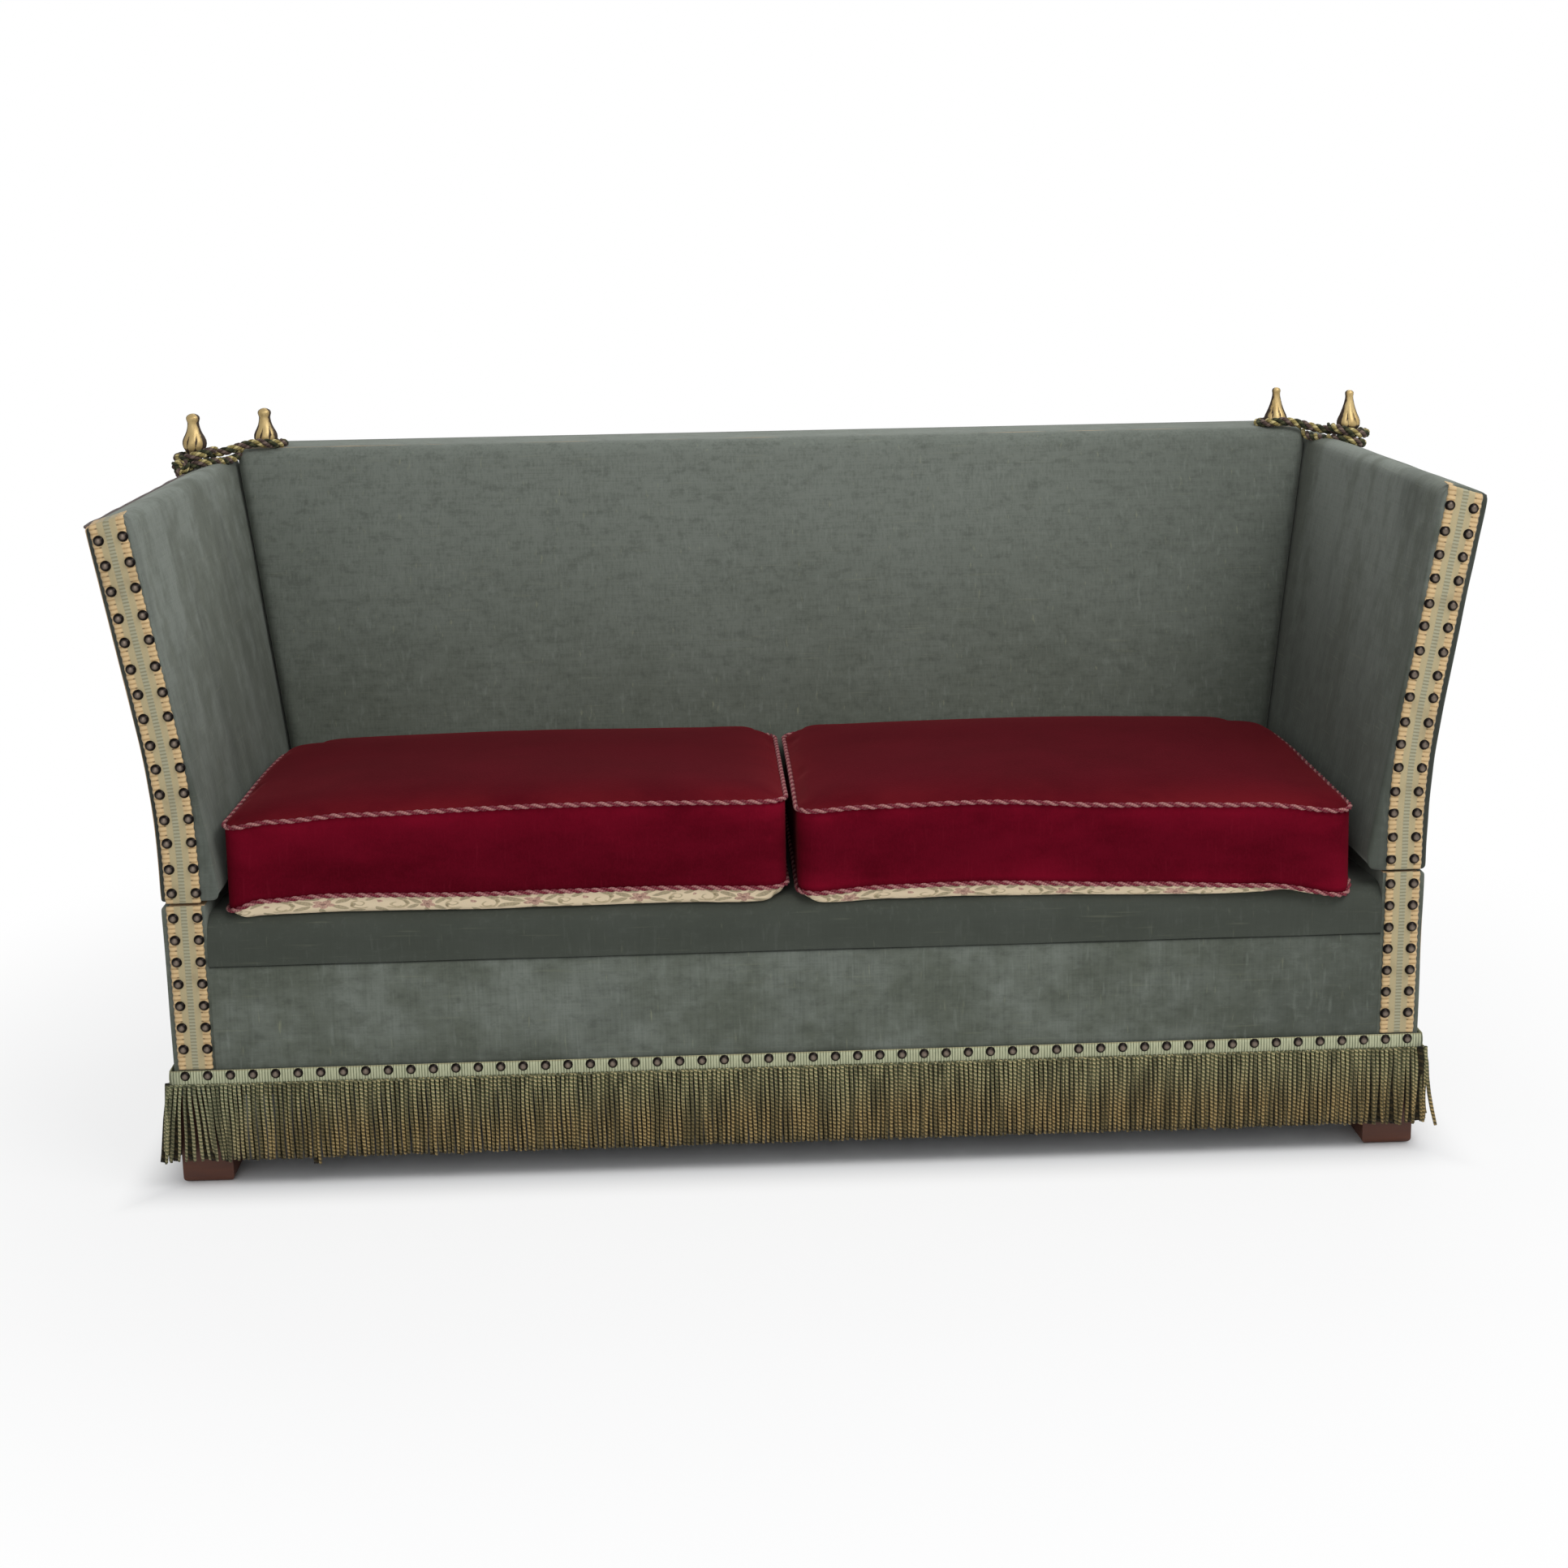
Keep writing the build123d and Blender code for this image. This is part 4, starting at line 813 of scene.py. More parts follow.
def braid_mesh(line, width, inward):
    """A braid laid along line, a list of points on its outer edge, with relief across it."""
    last = len(line) - 1
    runs = distances(line)
    bm = bmesh.new()
    bmesh.ops.create_grid(bm, x_segments=24, y_segments=last, size=0.5)
    uv = bm.loops.layers.uv.new("UVMap")
    spots = {}
    for vert in bm.verts:
        across = vert.co.x + 0.5
        row = min(last, max(0, round((vert.co.y + 0.5) * last)))
        along = runs[row]
        spots[vert.index] = (along, across)
        side = abs(across - 0.5) * 2
        height = 0.0010
        if side > 0.58:
            bulge = math.cos((side - 0.80) / 0.22 * math.pi / 2)
            chain = abs(math.sin(math.pi * along / CHAIN_PITCH))
            height += 0.0013 * max(0, bulge) * (0.45 + 0.55 * chain)
        elif side < 0.20:
            height += 0.0005 * abs(math.sin(math.pi * along / RUNG_PITCH))
        else:
            height += 0.0003
        if side > 0.985:
            height = 0.0001
        edge = 0.0005 * math.sin(along * 610.0) * (1 if side > 0.95 else 0)
        spot = line[row] + inward[row] * (across * width + edge) + Vector((0, -height, 0))
        fray = 0.0022 * noise.noise(Vector((vert.co.x * 40, along * 90, 4)))
        over = spot.z - (arm_top_z(spot.x) - 0.003)
        if over > 0:
            spot = Vector((spot.x, spot.y + over * 0.92,
                           spot.z - over * 0.86 + 0.0006 + fray * 0.3))
        vert.co = spot
    for face in bm.faces:
        for loop in face.loops:
            loop[uv].uv = spots[loop.vert.index]
    return bm


class SOFA_OT_braids(bpy.types.Operator):
    """Woven braid up the pillars and the fronts of the arms"""
    bl_idname = "sofa.braids"
    bl_label = "Braids"

    def execute(self, context):
        width = context.scene.sofa_trim.braid_width
        cloth = finish_of("braid_cloth", braid_cloth)
        pillars = []
        for side, way in SIDES:
            line = []
            inward = []
            steps = 260
            for i in range(steps + 1):
                z = ARM_LOW + 0.001 + (ARM_TOP - ARM_LOW + 0.024) * i / steps
                low = min(z, ARM_TOP - 0.001)
                edge = arm_outer_x(low, BRAID_INSET)
                drift = 0.0006 * wobble(Vector((0, z, way)), 0.06)
                line.append(Vector((way * (edge + drift), FRONT - 0.0004, z)))
                tilt = math.atan2(arm_outer_x(low + 0.001, BRAID_INSET) - edge, 0.001)
                inward.append(Vector((-way * math.cos(tilt), 0, math.sin(tilt))))
            weave = thickened(braid_mesh(line, width, inward), 0.0008, -1.0)
            keep(f"{side}_arm_braid_weave", weave, f"{side}_arm", cloth,
                 (f"{side}_arm_braid",))
            line = []
            steps = 110
            for i in range(steps + 1):
                z = HEADING_TOP + 0.0005 + (HINGE_Z - HINGE_GAP - HEADING_TOP) * i / steps
                line.append(Vector((way * (OUTER_X - BRAID_INSET), FRONT - 0.0004, z)))
            pillars.append(braid_mesh(line, width, [Vector((-way, 0, 0))] * len(line)))
        keep("pillar_braid_weave", thickened(joined(pillars), 0.0008, -1.0),
             "base", cloth, ("pillar_braids",))
        return {"FINISHED"}


class SOFA_OT_base(bpy.types.Operator):
    """Velvet of the base: front border, seat lip, pillars and ends"""
    bl_idname = "sofa.base"
    bl_label = "Base covers"

    def execute(self, context):
        def border(u, v, w):
            z = COVER_FOOT + (SEAM_Z + 0.006 - COVER_FOOT) * w
            return Vector(((2 * u - 1) * (PILLAR_IN + 0.001), FRONT + 0.0002 + 0.0125 * v, z))

        def border_swell(point, normal):
            swell = 0.0012 * math.sin(math.pi * (point.z - 0.13) / 0.183)
            pulled = 0.0006 * math.exp(-((point.z - SEAM_Z) / 0.007) ** 2)
            facing = max(0, -normal.y)
            return -0.0006 + facing * (swell + 0.0006 * wobble(point, 0.16) - pulled)

        mesh = block((40, 2, 24), border, lambda u, v, w: 1.0 if w > 0.99 else 0.3, 0.004, 2)
        # Painted shade towards the +X end, and nearly black in the seam under the lip
        worn = finish_of("border_velvet", lambda n: green_velvet(n, 0.8, dim=0.50, seam=SEAM_Z))
        keep("front_border_velvet", settle(mesh, border_swell), "base", worn,
             ("front_border_cover",))

        def lip_point(t):
            """Along the lip's section: up the front, round the roll, back over the deck."""
            stretch = DECK_TOP - LIP_ROLL - SEAM_Z
            if t < 0.34:
                return FRONT - 0.0016, SEAM_Z - 0.0008 + stretch * t / 0.34
            if t < 0.62:
                angle = (t - 0.34) / 0.28 * (math.pi / 2 + SEAT_TILT)
                return (FRONT + LIP_ROLL - LIP_ROLL * math.cos(angle),
                        DECK_TOP - LIP_ROLL + LIP_ROLL * math.sin(angle))
            share = (t - 0.62) / 0.38
            y = FRONT + LIP_REACH + (DECK_REAR - FRONT - LIP_REACH) * share
            return y, DECK_TOP - (y - FRONT - LIP_REACH) * math.tan(SEAT_TILT)

        def lip(u, v, w):
            y, z = lip_point(w)
            inner = Vector((0, 0.010 if w < 0.5 else 0.004, -0.008 if w > 0.4 else 0.0)) * v
            return Vector(((2 * u - 1) * (PILLAR_IN + 0.001), y, z)) + inner

        def lip_swell(point, normal):
            ripple = 0.0012 * wobble(Vector((point.x, point.y, point.z * 2)), 0.12, 5)
            fold = 0.0010 * math.exp(-((point.z - SEAM_Z) / 0.006) ** 2)
            facing = max(0, -normal.y)
            return -0.0008 + ripple * facing + fold * facing

        mesh = block((40, 1, 22), lip, lambda u, v, w: 0.4, 0.003, 1)
        # Painted shade all over the lip, where the cushions overhang it
        dark = finish_of("lip_velvet", lambda n: green_velvet(n, 0.4, shade=0.86))
        keep("seat_lip_velvet", settle(mesh, lip_swell), "base", dark,
             ("seat_platform_cover",))

        def end_weight(u, v, w):
            if u < 0.5:
                return 0.85 if w > 0.99 else 0.5
            return 0.12

        velvet = finish_of("green_velvet", green_velvet)
        for side, way in SIDES:
            def end(u, v, w, way=way):
                z = COVER_FOOT + (HINGE_Z - HINGE_GAP - COVER_FOOT) * w
                return Vector((way * (OUTER_X - 0.0588 * u), FRONT + (BASE_REAR - FRONT) * v, z))

            mesh = block((2, 18, 8), end, end_weight, 0.008, 2)
            settle(mesh, lambda p, n: -0.0008 + 0.0009 * wobble(p, 0.12, 2))
            keep(f"{side}_end_velvet", mesh, "base", velvet,
                 (f"{side}_side_cover",))
        return {"FINISHED"}


class SOFA_OT_back(bpy.types.Operator):
    """Velvet of the back, inside and outside, as one padded form"""
    bl_idname = "sofa.back"
    bl_label = "Back covers"

    def execute(self, context):
        # Painted light, lighter towards the top, and painted shade towards the +X end
        velvet = finish_of("back_velvet", lambda n: green_velvet(
            n, 0.32, (0.7, 1, 1), (0.46, 0.14), (0.90, 0.78), dim=0.30))

        def half_width(z):
            return INNER_FOOT[0] - 0.001 + (z - HINGE_Z) * INNER_SLOPE

        def rear_y(z):
            climb = max(0.0, z - HINGE_Z)
            return BASE_REAR + climb * (BACK_REAR - BASE_REAR) / (BACK_TOP - HINGE_Z)

        def inside(u, v, w):
            z = BACK_FOOT + (BACK_TOP - BACK_FOOT) * w
            front = BACK_FRONT + max(0.0, z - RAKE_FOOT) * BACK_RAKE
            y = front + (rear_y(z) - 0.001 - front) * v
            return Vector(((2 * u - 1) * half_width(z), y, z))

        def weight(u, v, w):
            if w > 0.999:
                return 0.05 if v > 0.99 else 1.0
            return 1.0 if v < 0.01 else 0.05

        mesh = block((40, 2, 15), inside, weight, 0.022, 2)

        def puff(point, normal):
            share = (point.z - HINGE_Z) / (BACK_TOP - HINGE_Z)
            across = point.x / half_width(point.z)
            swell = 0.006 * max(0, math.sin(math.pi * share)) * max(0, 1 - across ** 4)
            drape = 0.0018 * wobble(Vector((point.x * 0.8, point.y, point.z)), 0.20, 7)
            fine = 0.0006 * wobble(point, 0.05, 9)
            return -0.0012 + max(0, -normal.y) * (swell * 0.6 + drape) + fine * 0.6

        piece = keep("inside_back_velvet", settle(mesh, puff), "base", velvet,
                     ("inside_back_cover", "back_pad"))

        def outside(u, v, w):
            z = COVER_FOOT + (BACK_TOP - 0.004 - COVER_FOOT) * w
            half = OUTER_X - 0.0022 if z < HINGE_Z - 0.001 else half_width(z) - 0.002
            return Vector(((2 * u - 1) * half, rear_y(z) - 0.0035 + 0.0035 * v, z))

        mesh = block((30, 1, 24), outside, lambda u, v, w: 0.5, 0.003, 1)
        settle(mesh, lambda p, n: -0.0003 + 0.0010 * wobble(p, 0.2, 4) * max(0, n.y))
        keep("outside_back_velvet", mesh, "base", velvet, ("outside_back_cover",))
        return {"FINISHED"}


class SOFA_OT_fringe(bpy.types.Operator):
    """Bullion fringe: a woven heading with twisted strands round all four sides"""
    bl_idname = "sofa.fringe"
    bl_label = "Fringe"

    def execute(self, context):
        pitch = context.scene.sofa_trim.strand_pitch
        front, rear, outer = FRONT - 0.0025, BASE_REAR + 0.0025, OUTER_X + 0.0025
        loop = [(-outer, front), (outer, front), (outer, rear), (-outer, rear)]
        chance = random.Random(41)
        headings = []
        strands = {"front": [], "round": [], "behind": []}
        for i, (start, end) in enumerate(zip(loop, loop[1:] + loop[:1])):
            one, two = Vector((*start, 0)), Vector((*end, 0))
            length = (two - one).length
            way = (two - one).normalized()
            out = Vector((way.y, -way.x, 0))
            headings.append(self.heading(one, way, out, length))
            # Strands start and end a little beyond the corners
            corner = 0.006
            count = round((length + 2 * corner) / pitch)
            group = "front" if i == 0 else "round"
            for k in range(count + 1):
                along = -corner + (length + 2 * corner) * k / count
                seed = 17.0 * i + k * 0.731
                line = self.strand(one, way, out, length, along, seed, pitch, group == "front")
                if k % 2:
                    behind = [p - out * 0.0052 - way * pitch for p in line[::2] + line[-1:]]
                    behind = [p + way * (0.002 * chance.random()) for p in behind]
                    strands["behind"].append(tube(behind, lambda t: 0.0049, 5, chance.random()))
                thick = 0.0022 + 0.0005 * chance.random()
                strands[group].append(tube(
                    line, lambda t: thick * (1 if t < 0.93 else 0.8), 6, chance.random()))
        keep("fringe_heading", thickened(joined(headings), 0.0012, 1.0), "base",
             finish_of("heading_cloth", heading_cloth), ("bullion_fringe",))
        yarn = finish_of("fringe_yarn", fringe_yarn)
        # The strands behind are painted nearly black, as the shade behind the front strands
        inner = finish_of("inner_yarn", lambda n: plied(
            n, [(0.016, 0.013, 0.006), (0.040, 0.029, 0.012)], 90.0))
        for group, parts in strands.items():
            keep(f"fringe_strands_{group}", to_mesh(joined(parts)), "base",
                 inner if group == "behind" else yarn)
        return {"FINISHED"}

    def heading(self, one, way, out, length):
        """The woven heading along one side of the base, from one on."""
        foot, height = 0.1455, 0.0232
        bm = bmesh.new()
        uv = bm.loops.layers.uv.new("UVMap")
        bmesh.ops.create_grid(bm, x_segments=round(length / 0.02), y_segments=4, size=0.5)
        for vert in bm.verts:
            high = vert.co.y + 0.5
            spot = one + way * ((vert.co.x + 0.5) * length)
            spot += out * (0.0004 + 0.0012 * math.sin(math.pi * high))
            vert.co = Vector((spot.x, spot.y, foot + height * high))
        for face in bm.faces:
            for loop in face.loops:
                p = loop.vert.co
                loop[uv].uv = ((p - one).dot(way), (p.z - foot) / height)
        return bm

    def strand(self, one, way, out, length, along, seed, pitch, in_front):
        """One strand's line, looser near the corners and, at the left of the front, parted."""
        x = one.x + along
        sway = noise.noise(Vector((seed, 0.3, 1.0)))
        shift = noise.noise(Vector((0.2, seed, 2.0)))
        near_end = max(0.0, 1 - min(along, length - along) / 0.09)
        reach = 0.1085 + 0.004 * noise.noise(Vector((seed * 3, 1, 5)))
        loose = 1 + 9.0 * near_end * (1.7 if x > 0 else 0.8)
        parted = 0.0
        if in_front:
            # The strands part at one place, and a single one hangs lower at another
            parted_x, low_x = -0.822, -0.655
            part = (x - parted_x) / 0.030
            parted = 0.024 * part * math.exp(-part * part)
            if abs(x - low_x) < pitch / 2:
                reach += 0.011
        stand = 0.0048 + 0.0016 * abs(shift) + 0.003 * near_end * abs(sway)
        base = one + way * along
        steps = 9 if in_front else 5
        line = []
        for j in range(steps + 1):
            t = j / steps
            drift = way * (sway * 0.0014 * loose * t * t + parted * t
                           + 0.0005 * math.sin(7 * t + seed))
            bulge = out * (stand * min(1, 0.45 + t * 3) + 0.0012 * shift * t
                           + 0.0030 * abs(sway) * loose * t * t * 0.5)
            line.append(Vector((base.x, base.y, 0.1500 - reach * t)) + drift + bulge)
        return line


# Tie rope: the route of the CAD's tube on +X, in millimetres, y counted from the front
ROPE_TURNS = {
    "arm": (889.0, 575.0), "back": (799.5, 668.0), "arm_radius": 26.2, "back_radius": 27.0,
}


def rope_points():
    """The route's corners, as the CAD tube has them, in metres."""
    radius, clearance, layer = 7.0, 0.5, 14.5
    # The arm's outer top edge, the fall of its top and the height of the turn at the back
    edge_x, edge_z = 902.5, 905.0
    fall = 18.0 / 57.0
    back_z = 934.0

    def resting(x):
        above = (radius + clearance) / math.cos(math.atan(fall)) - 1.5
        return edge_z + (edge_x - min(x, edge_x)) * fall + above

    def halfway(one, two, drop):
        x, y, z = ((a + b) / 2 for a, b in zip(one, two))
        return x, y, z - drop

    def turn(centre, reach, start, sweep, height):
        count = round(abs(sweep) / 60)
        corner = reach / math.cos(math.radians(sweep / count / 2))
        made = []
        for i in range(count):
            share = (i + 0.5) / count
            angle = math.radians(start + sweep * share)
            x = centre[0] + corner * math.cos(angle)
            made.append((x, centre[1] + corner * math.sin(angle), height(x, share)))
        return made

    arm, back = ROPE_TURNS["arm"], ROPE_TURNS["back"]
    arm_reach, back_reach = ROPE_TURNS["arm_radius"], ROPE_TURNS["back_radius"]
    apart = (back[0] - arm[0], back[1] - arm[1])
    heading = math.degrees(math.atan2(apart[1], apart[0]))
    cross = math.degrees(math.acos((arm_reach + back_reach) / math.hypot(*apart)))
    tail_x = edge_x + radius + 2 * clearance
    tail = [
        (tail_x - radius / 3, arm[1] + 2 * arm_reach, edge_z - 3 * layer),
        (tail_x, arm[1] + 1.6 * arm_reach, edge_z - 1.2 * layer),
        (tail_x + radius / 3, arm[1] + 0.8 * arm_reach, edge_z + layer / 3),
    ]
    first = turn(arm, arm_reach, -20, heading + cross - 360 + 20,
                 lambda x, share: resting(x) + max(0, share - 0.7) * radius)
    around = turn(back, back_reach, heading + 180 + cross - 360, 360 - 2 * (180 - cross) + 180,
                  lambda x, share: back_z + max(0, share - 0.5) * layer * 1.1)
    start = heading - cross
    last = turn(arm, arm_reach, start, -215 - start,
                lambda x, share: resting(x) + layer * (1.12 - share * 0.32))
    lower_run = [halfway(first[-1], around[0], 15.0)]
    upper_run = [halfway(around[-1], last[0], 8.0)]
    route = tail + first + lower_run + around + upper_run + last
    return [Vector((x / 1000, y / 1000 + FRONT, z / 1000)) for x, y, z in route]


def smooth_line(points):
    """Points read from the smooth NURBS line of a route."""
    curve = bpy.data.curves.new("route", "CURVE")
    curve.dimensions = "3D"
    spline = curve.splines.new("NURBS")
    spline.points.add(len(points) - 1)
    for spot, point in zip(spline.points, points):
        spot.co = (*point, 1)
    spline.order_u = 3
    spline.use_endpoint_u = True
    spline.resolution_u = 14
    holder = bpy.data.objects.new("route", curve)
    bpy.context.scene.collection.objects.link(holder)
    bpy.context.view_layer.update()
    mesh = bpy.data.meshes.new_from_object(holder)
    line = [v.co.copy() for v in mesh.vertices]
    bpy.data.objects.remove(holder)
    bpy.data.meshes.remove(mesh)
    bpy.data.curves.remove(curve)
    return line


def strand_lines(line, count, reach, pitch):
    """Lines that wind round a line like the plies of a rope."""
    lines = [[] for _ in range(count)]
    for (point, up, across), run in zip(frames(line), distances(line)):
        for k, wound in enumerate(lines):
            angle = 2 * math.pi * (k / count + run / pitch)
            wound.append(point + (up * math.cos(angle) + across * math.sin(angle)) * reach)
    return lines


ROPE_PLIES = (
    ("olive_ply", [(0.030, 0.034, 0.018), (0.085, 0.085, 0.040)]),
    ("gold_ply", [(0.30, 0.235, 0.080), (0.60, 0.50, 0.23)]),
    ("mauve_ply", [(0.090, 0.058, 0.048), (0.19, 0.135, 0.11)]),
)


class SOFA_OT_ropes(bpy.types.Operator):
    """Three-ply tie ropes wound round the finials, with a knot and a frayed tail"""
    bl_idname = "sofa.ropes"
    bl_label = "Tie ropes"

    def execute(self, context):
        for side, way in SIDES:
            line = [Vector((way * p.x, p.y, p.z)) for p in smooth_line(rope_points())]
            parts = [yarn_tube(strand, lambda t: 0.0034 * (1 if 0.01 < t < 0.99 else 0.75), 8, k)
                     for k, strand in enumerate(strand_lines(line, 3, 0.0037, 0.034))]
            for k in range(9):
                angle = 2.4 * k
                spread = Vector((math.cos(angle), math.sin(angle), 0)) * 0.0045
                yarn = [line[0] + spread * (0.6 + 0.5 * j / 4) + Vector((0, 0, -0.0045 * j))
                        for j in range(5)]
                parts.append(yarn_tube(yarn, lambda t: 0.0011, 5, k % 3))
            if way < 0:
                parts += self.knot(Vector((-0.9035, FRONT + 0.538, 0.9145)))
            mesh = to_mesh(joined(parts))
            piece = keep(f"{side}_rope", mesh, "base", None, (f"{side}_tie_rope",))
            for name, plies in ROPE_PLIES:
                mesh.materials.append(finish_of(name, lambda n: plied(n, plies, 90.0, 0.2, 0.25)))
            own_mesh(piece)
        return {"FINISHED"}

    def knot(self, centre):
        """The rope's end tied in a small round knot."""
        route = []
        for i in range(49):
            a = 2 * math.pi * i / 48
            spot = Vector((math.sin(a) + 1.9 * math.sin(2 * a), -1.2 * math.sin(3 * a),
                           math.cos(a) - 1.9 * math.cos(2 * a)))
            route.append(centre + spot * 0.0036)
        return [yarn_tube(strand, lambda t: 0.0028, 7, k)
                for k, strand in enumerate(strand_lines(route, 3, 0.0029, 0.026))]


# Outlines of the finials: height above the foot as a share of the height, then radius
POINTED_RINGS = (
    (-0.30, 0.50), (-0.08, 0.52), (0.0, 0.80), (0.05, 0.93), (0.12, 1.0), (0.19, 0.98),
    (0.27, 0.89), (0.36, 0.75), (0.46, 0.62), (0.56, 0.51), (0.65, 0.43), (0.73, 0.37),
    (0.79, 0.335), (0.84, 0.33), (0.89, 0.355), (0.93, 0.36), (0.965, 0.31), (0.99, 0.19),
    (1.0, 0.08),
)
FINIAL_RINGS = (
    (-0.30, 0.50), (-0.08, 0.52), (0.0, 0.68), (0.06, 0.82), (0.14, 0.95), (0.22, 1.0),
    (0.30, 0.98), (0.38, 0.88), (0.46, 0.74), (0.54, 0.62), (0.62, 0.54), (0.70, 0.49),
    (0.76, 0.475), (0.81, 0.51), (0.86, 0.56), (0.91, 0.55), (0.95, 0.46), (0.985, 0.28),
    (1.0, 0.10),
)


class SOFA_OT_finials(bpy.types.Operator):
    """Turned and carved finials in worn gilding"""
    bl_idname = "sofa.finials"
    bl_label = "Finials"

    def execute(self, context):
        finish = finish_of("gilt_wood", gilt)
        back_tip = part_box("back_finials")[1][2]
        backs = []
        for side, way in SIDES:
            low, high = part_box(f"{side}_arm_finial")
            centre = ((low[0] + high[0]) / 2, (low[1] + high[1]) / 2)
            bm = self.carved(centre, high[2] - 0.0596, 0.059, 0.0182, 0.5 * way, way > 0)
            keep(f"{side}_arm_finial_carved", to_mesh(bm), f"{side}_arm", finish,
                 (f"{side}_arm_finial",))
            centre = (way * 0.7995, 0.3042)
            backs.append(self.carved(centre, back_tip - 0.0592, 0.0585, 0.0182, way, way > 0))
        keep("back_finials_carved", to_mesh(joined(backs)), "base", finish,
             ("back_finials",))
        return {"FINISHED"}

    def carved(self, centre, foot, height, radius, turn, pointed):
        """One finial: a spun profile with gouges round its bulb, dark where they are deep."""
        bm = bmesh.new()
        profile = POINTED_RINGS if pointed else FINIAL_RINGS
        rings = [bm.verts.new((radius * r, 0, height * z)) for z, r in profile]
        edges = [bm.edges.new(pair) for pair in zip(rings, rings[1:])]
        bmesh.ops.spin(bm, geom=rings + edges, cent=(0, 0, 0), axis=(0, 0, 1), dvec=(0, 0, 0),
                       angle=2 * math.pi, steps=48, use_merge=True)
        bmesh.ops.remove_doubles(bm, verts=bm.verts, dist=1e-6)
        bmesh.ops.holes_fill(bm, edges=[e for e in bm.edges if e.is_boundary], sides=0)
        layer = bm.verts.layers.float.new("hollow_and_side_shade")

        def near(share, middle, reach):
            return max(0.0, 1 - abs(share - middle) / reach)

        for vert in bm.verts:
            share = vert.co.z / height
            angle = math.atan2(vert.co.y, vert.co.x)
            swirl = angle * 8 + turn * 3 + share * 5.0 * (1 if turn > 0 else -1)
            gouge = max(0.0, math.cos(swirl)) ** 2
            cut = gouge * near(share, 0.30, 0.34)
            neck = near(share, 0.74, 0.06)
            foot_line = near(share, 0.03, 0.06)
            # Painted shade on the sides that face ±X
            side = max(0.0, (abs(math.cos(angle)) - 0.55) / 0.45)
            vert[layer] = min(1.0, cut * 0.9 + neck * 0.3 + foot_line * 0.9 + side * 0.75)
            scale = 1 - (0.16 if pointed else 0.07) * cut
            vert.co = Vector((vert.co.x * scale + centre[0], vert.co.y * scale + centre[1],
                              vert.co.z + foot))
        return bm


# Seat cushions: how far each front seam lies above or below the straight one, upper then lower
SEAM_LEVELS = {
    "left": (
        ((-0.760, -0.0225), (-0.690, -0.0130), (-0.589, -0.0060), (-0.366, -0.0010),
         (-0.196, -0.0025), (-0.016, -0.0035)),
        ((-0.760, -0.0235), (-0.712, -0.0075), (-0.627, -0.0025), (-0.414, -0.0055),
         (-0.199, -0.0050), (-0.016, -0.0080)),
    ),
    "right": (
        ((0.0, -0.0170), (0.085, -0.0120), (0.233, -0.0115), (0.449, -0.0185),
         (0.612, -0.0230), (0.744, -0.0350)),
        ((0.0, -0.0175), (0.120, -0.0110), (0.233, -0.0100), (0.451, -0.0160),
         (0.626, -0.0225), (0.744, -0.0390)),
    ),
}


PIPING_PLIES = (
    ("rose_ply", [(0.40, 0.145, 0.145), (0.56, 0.27, 0.25)]),
    ("red_ply", [(0.16, 0.014, 0.030), (0.30, 0.055, 0.070)]),
)


def evenly(line, step):
    """Points at even distances along a line."""
    made = [line[0]]
    left = step
    for a, b in zip(line, line[1:]):
        span = (b - a).length
        done = 0.0
        while span - done > left:
            done += left
            made.append(a.lerp(b, done / span))
            left = step
        left -= span - done
    return made


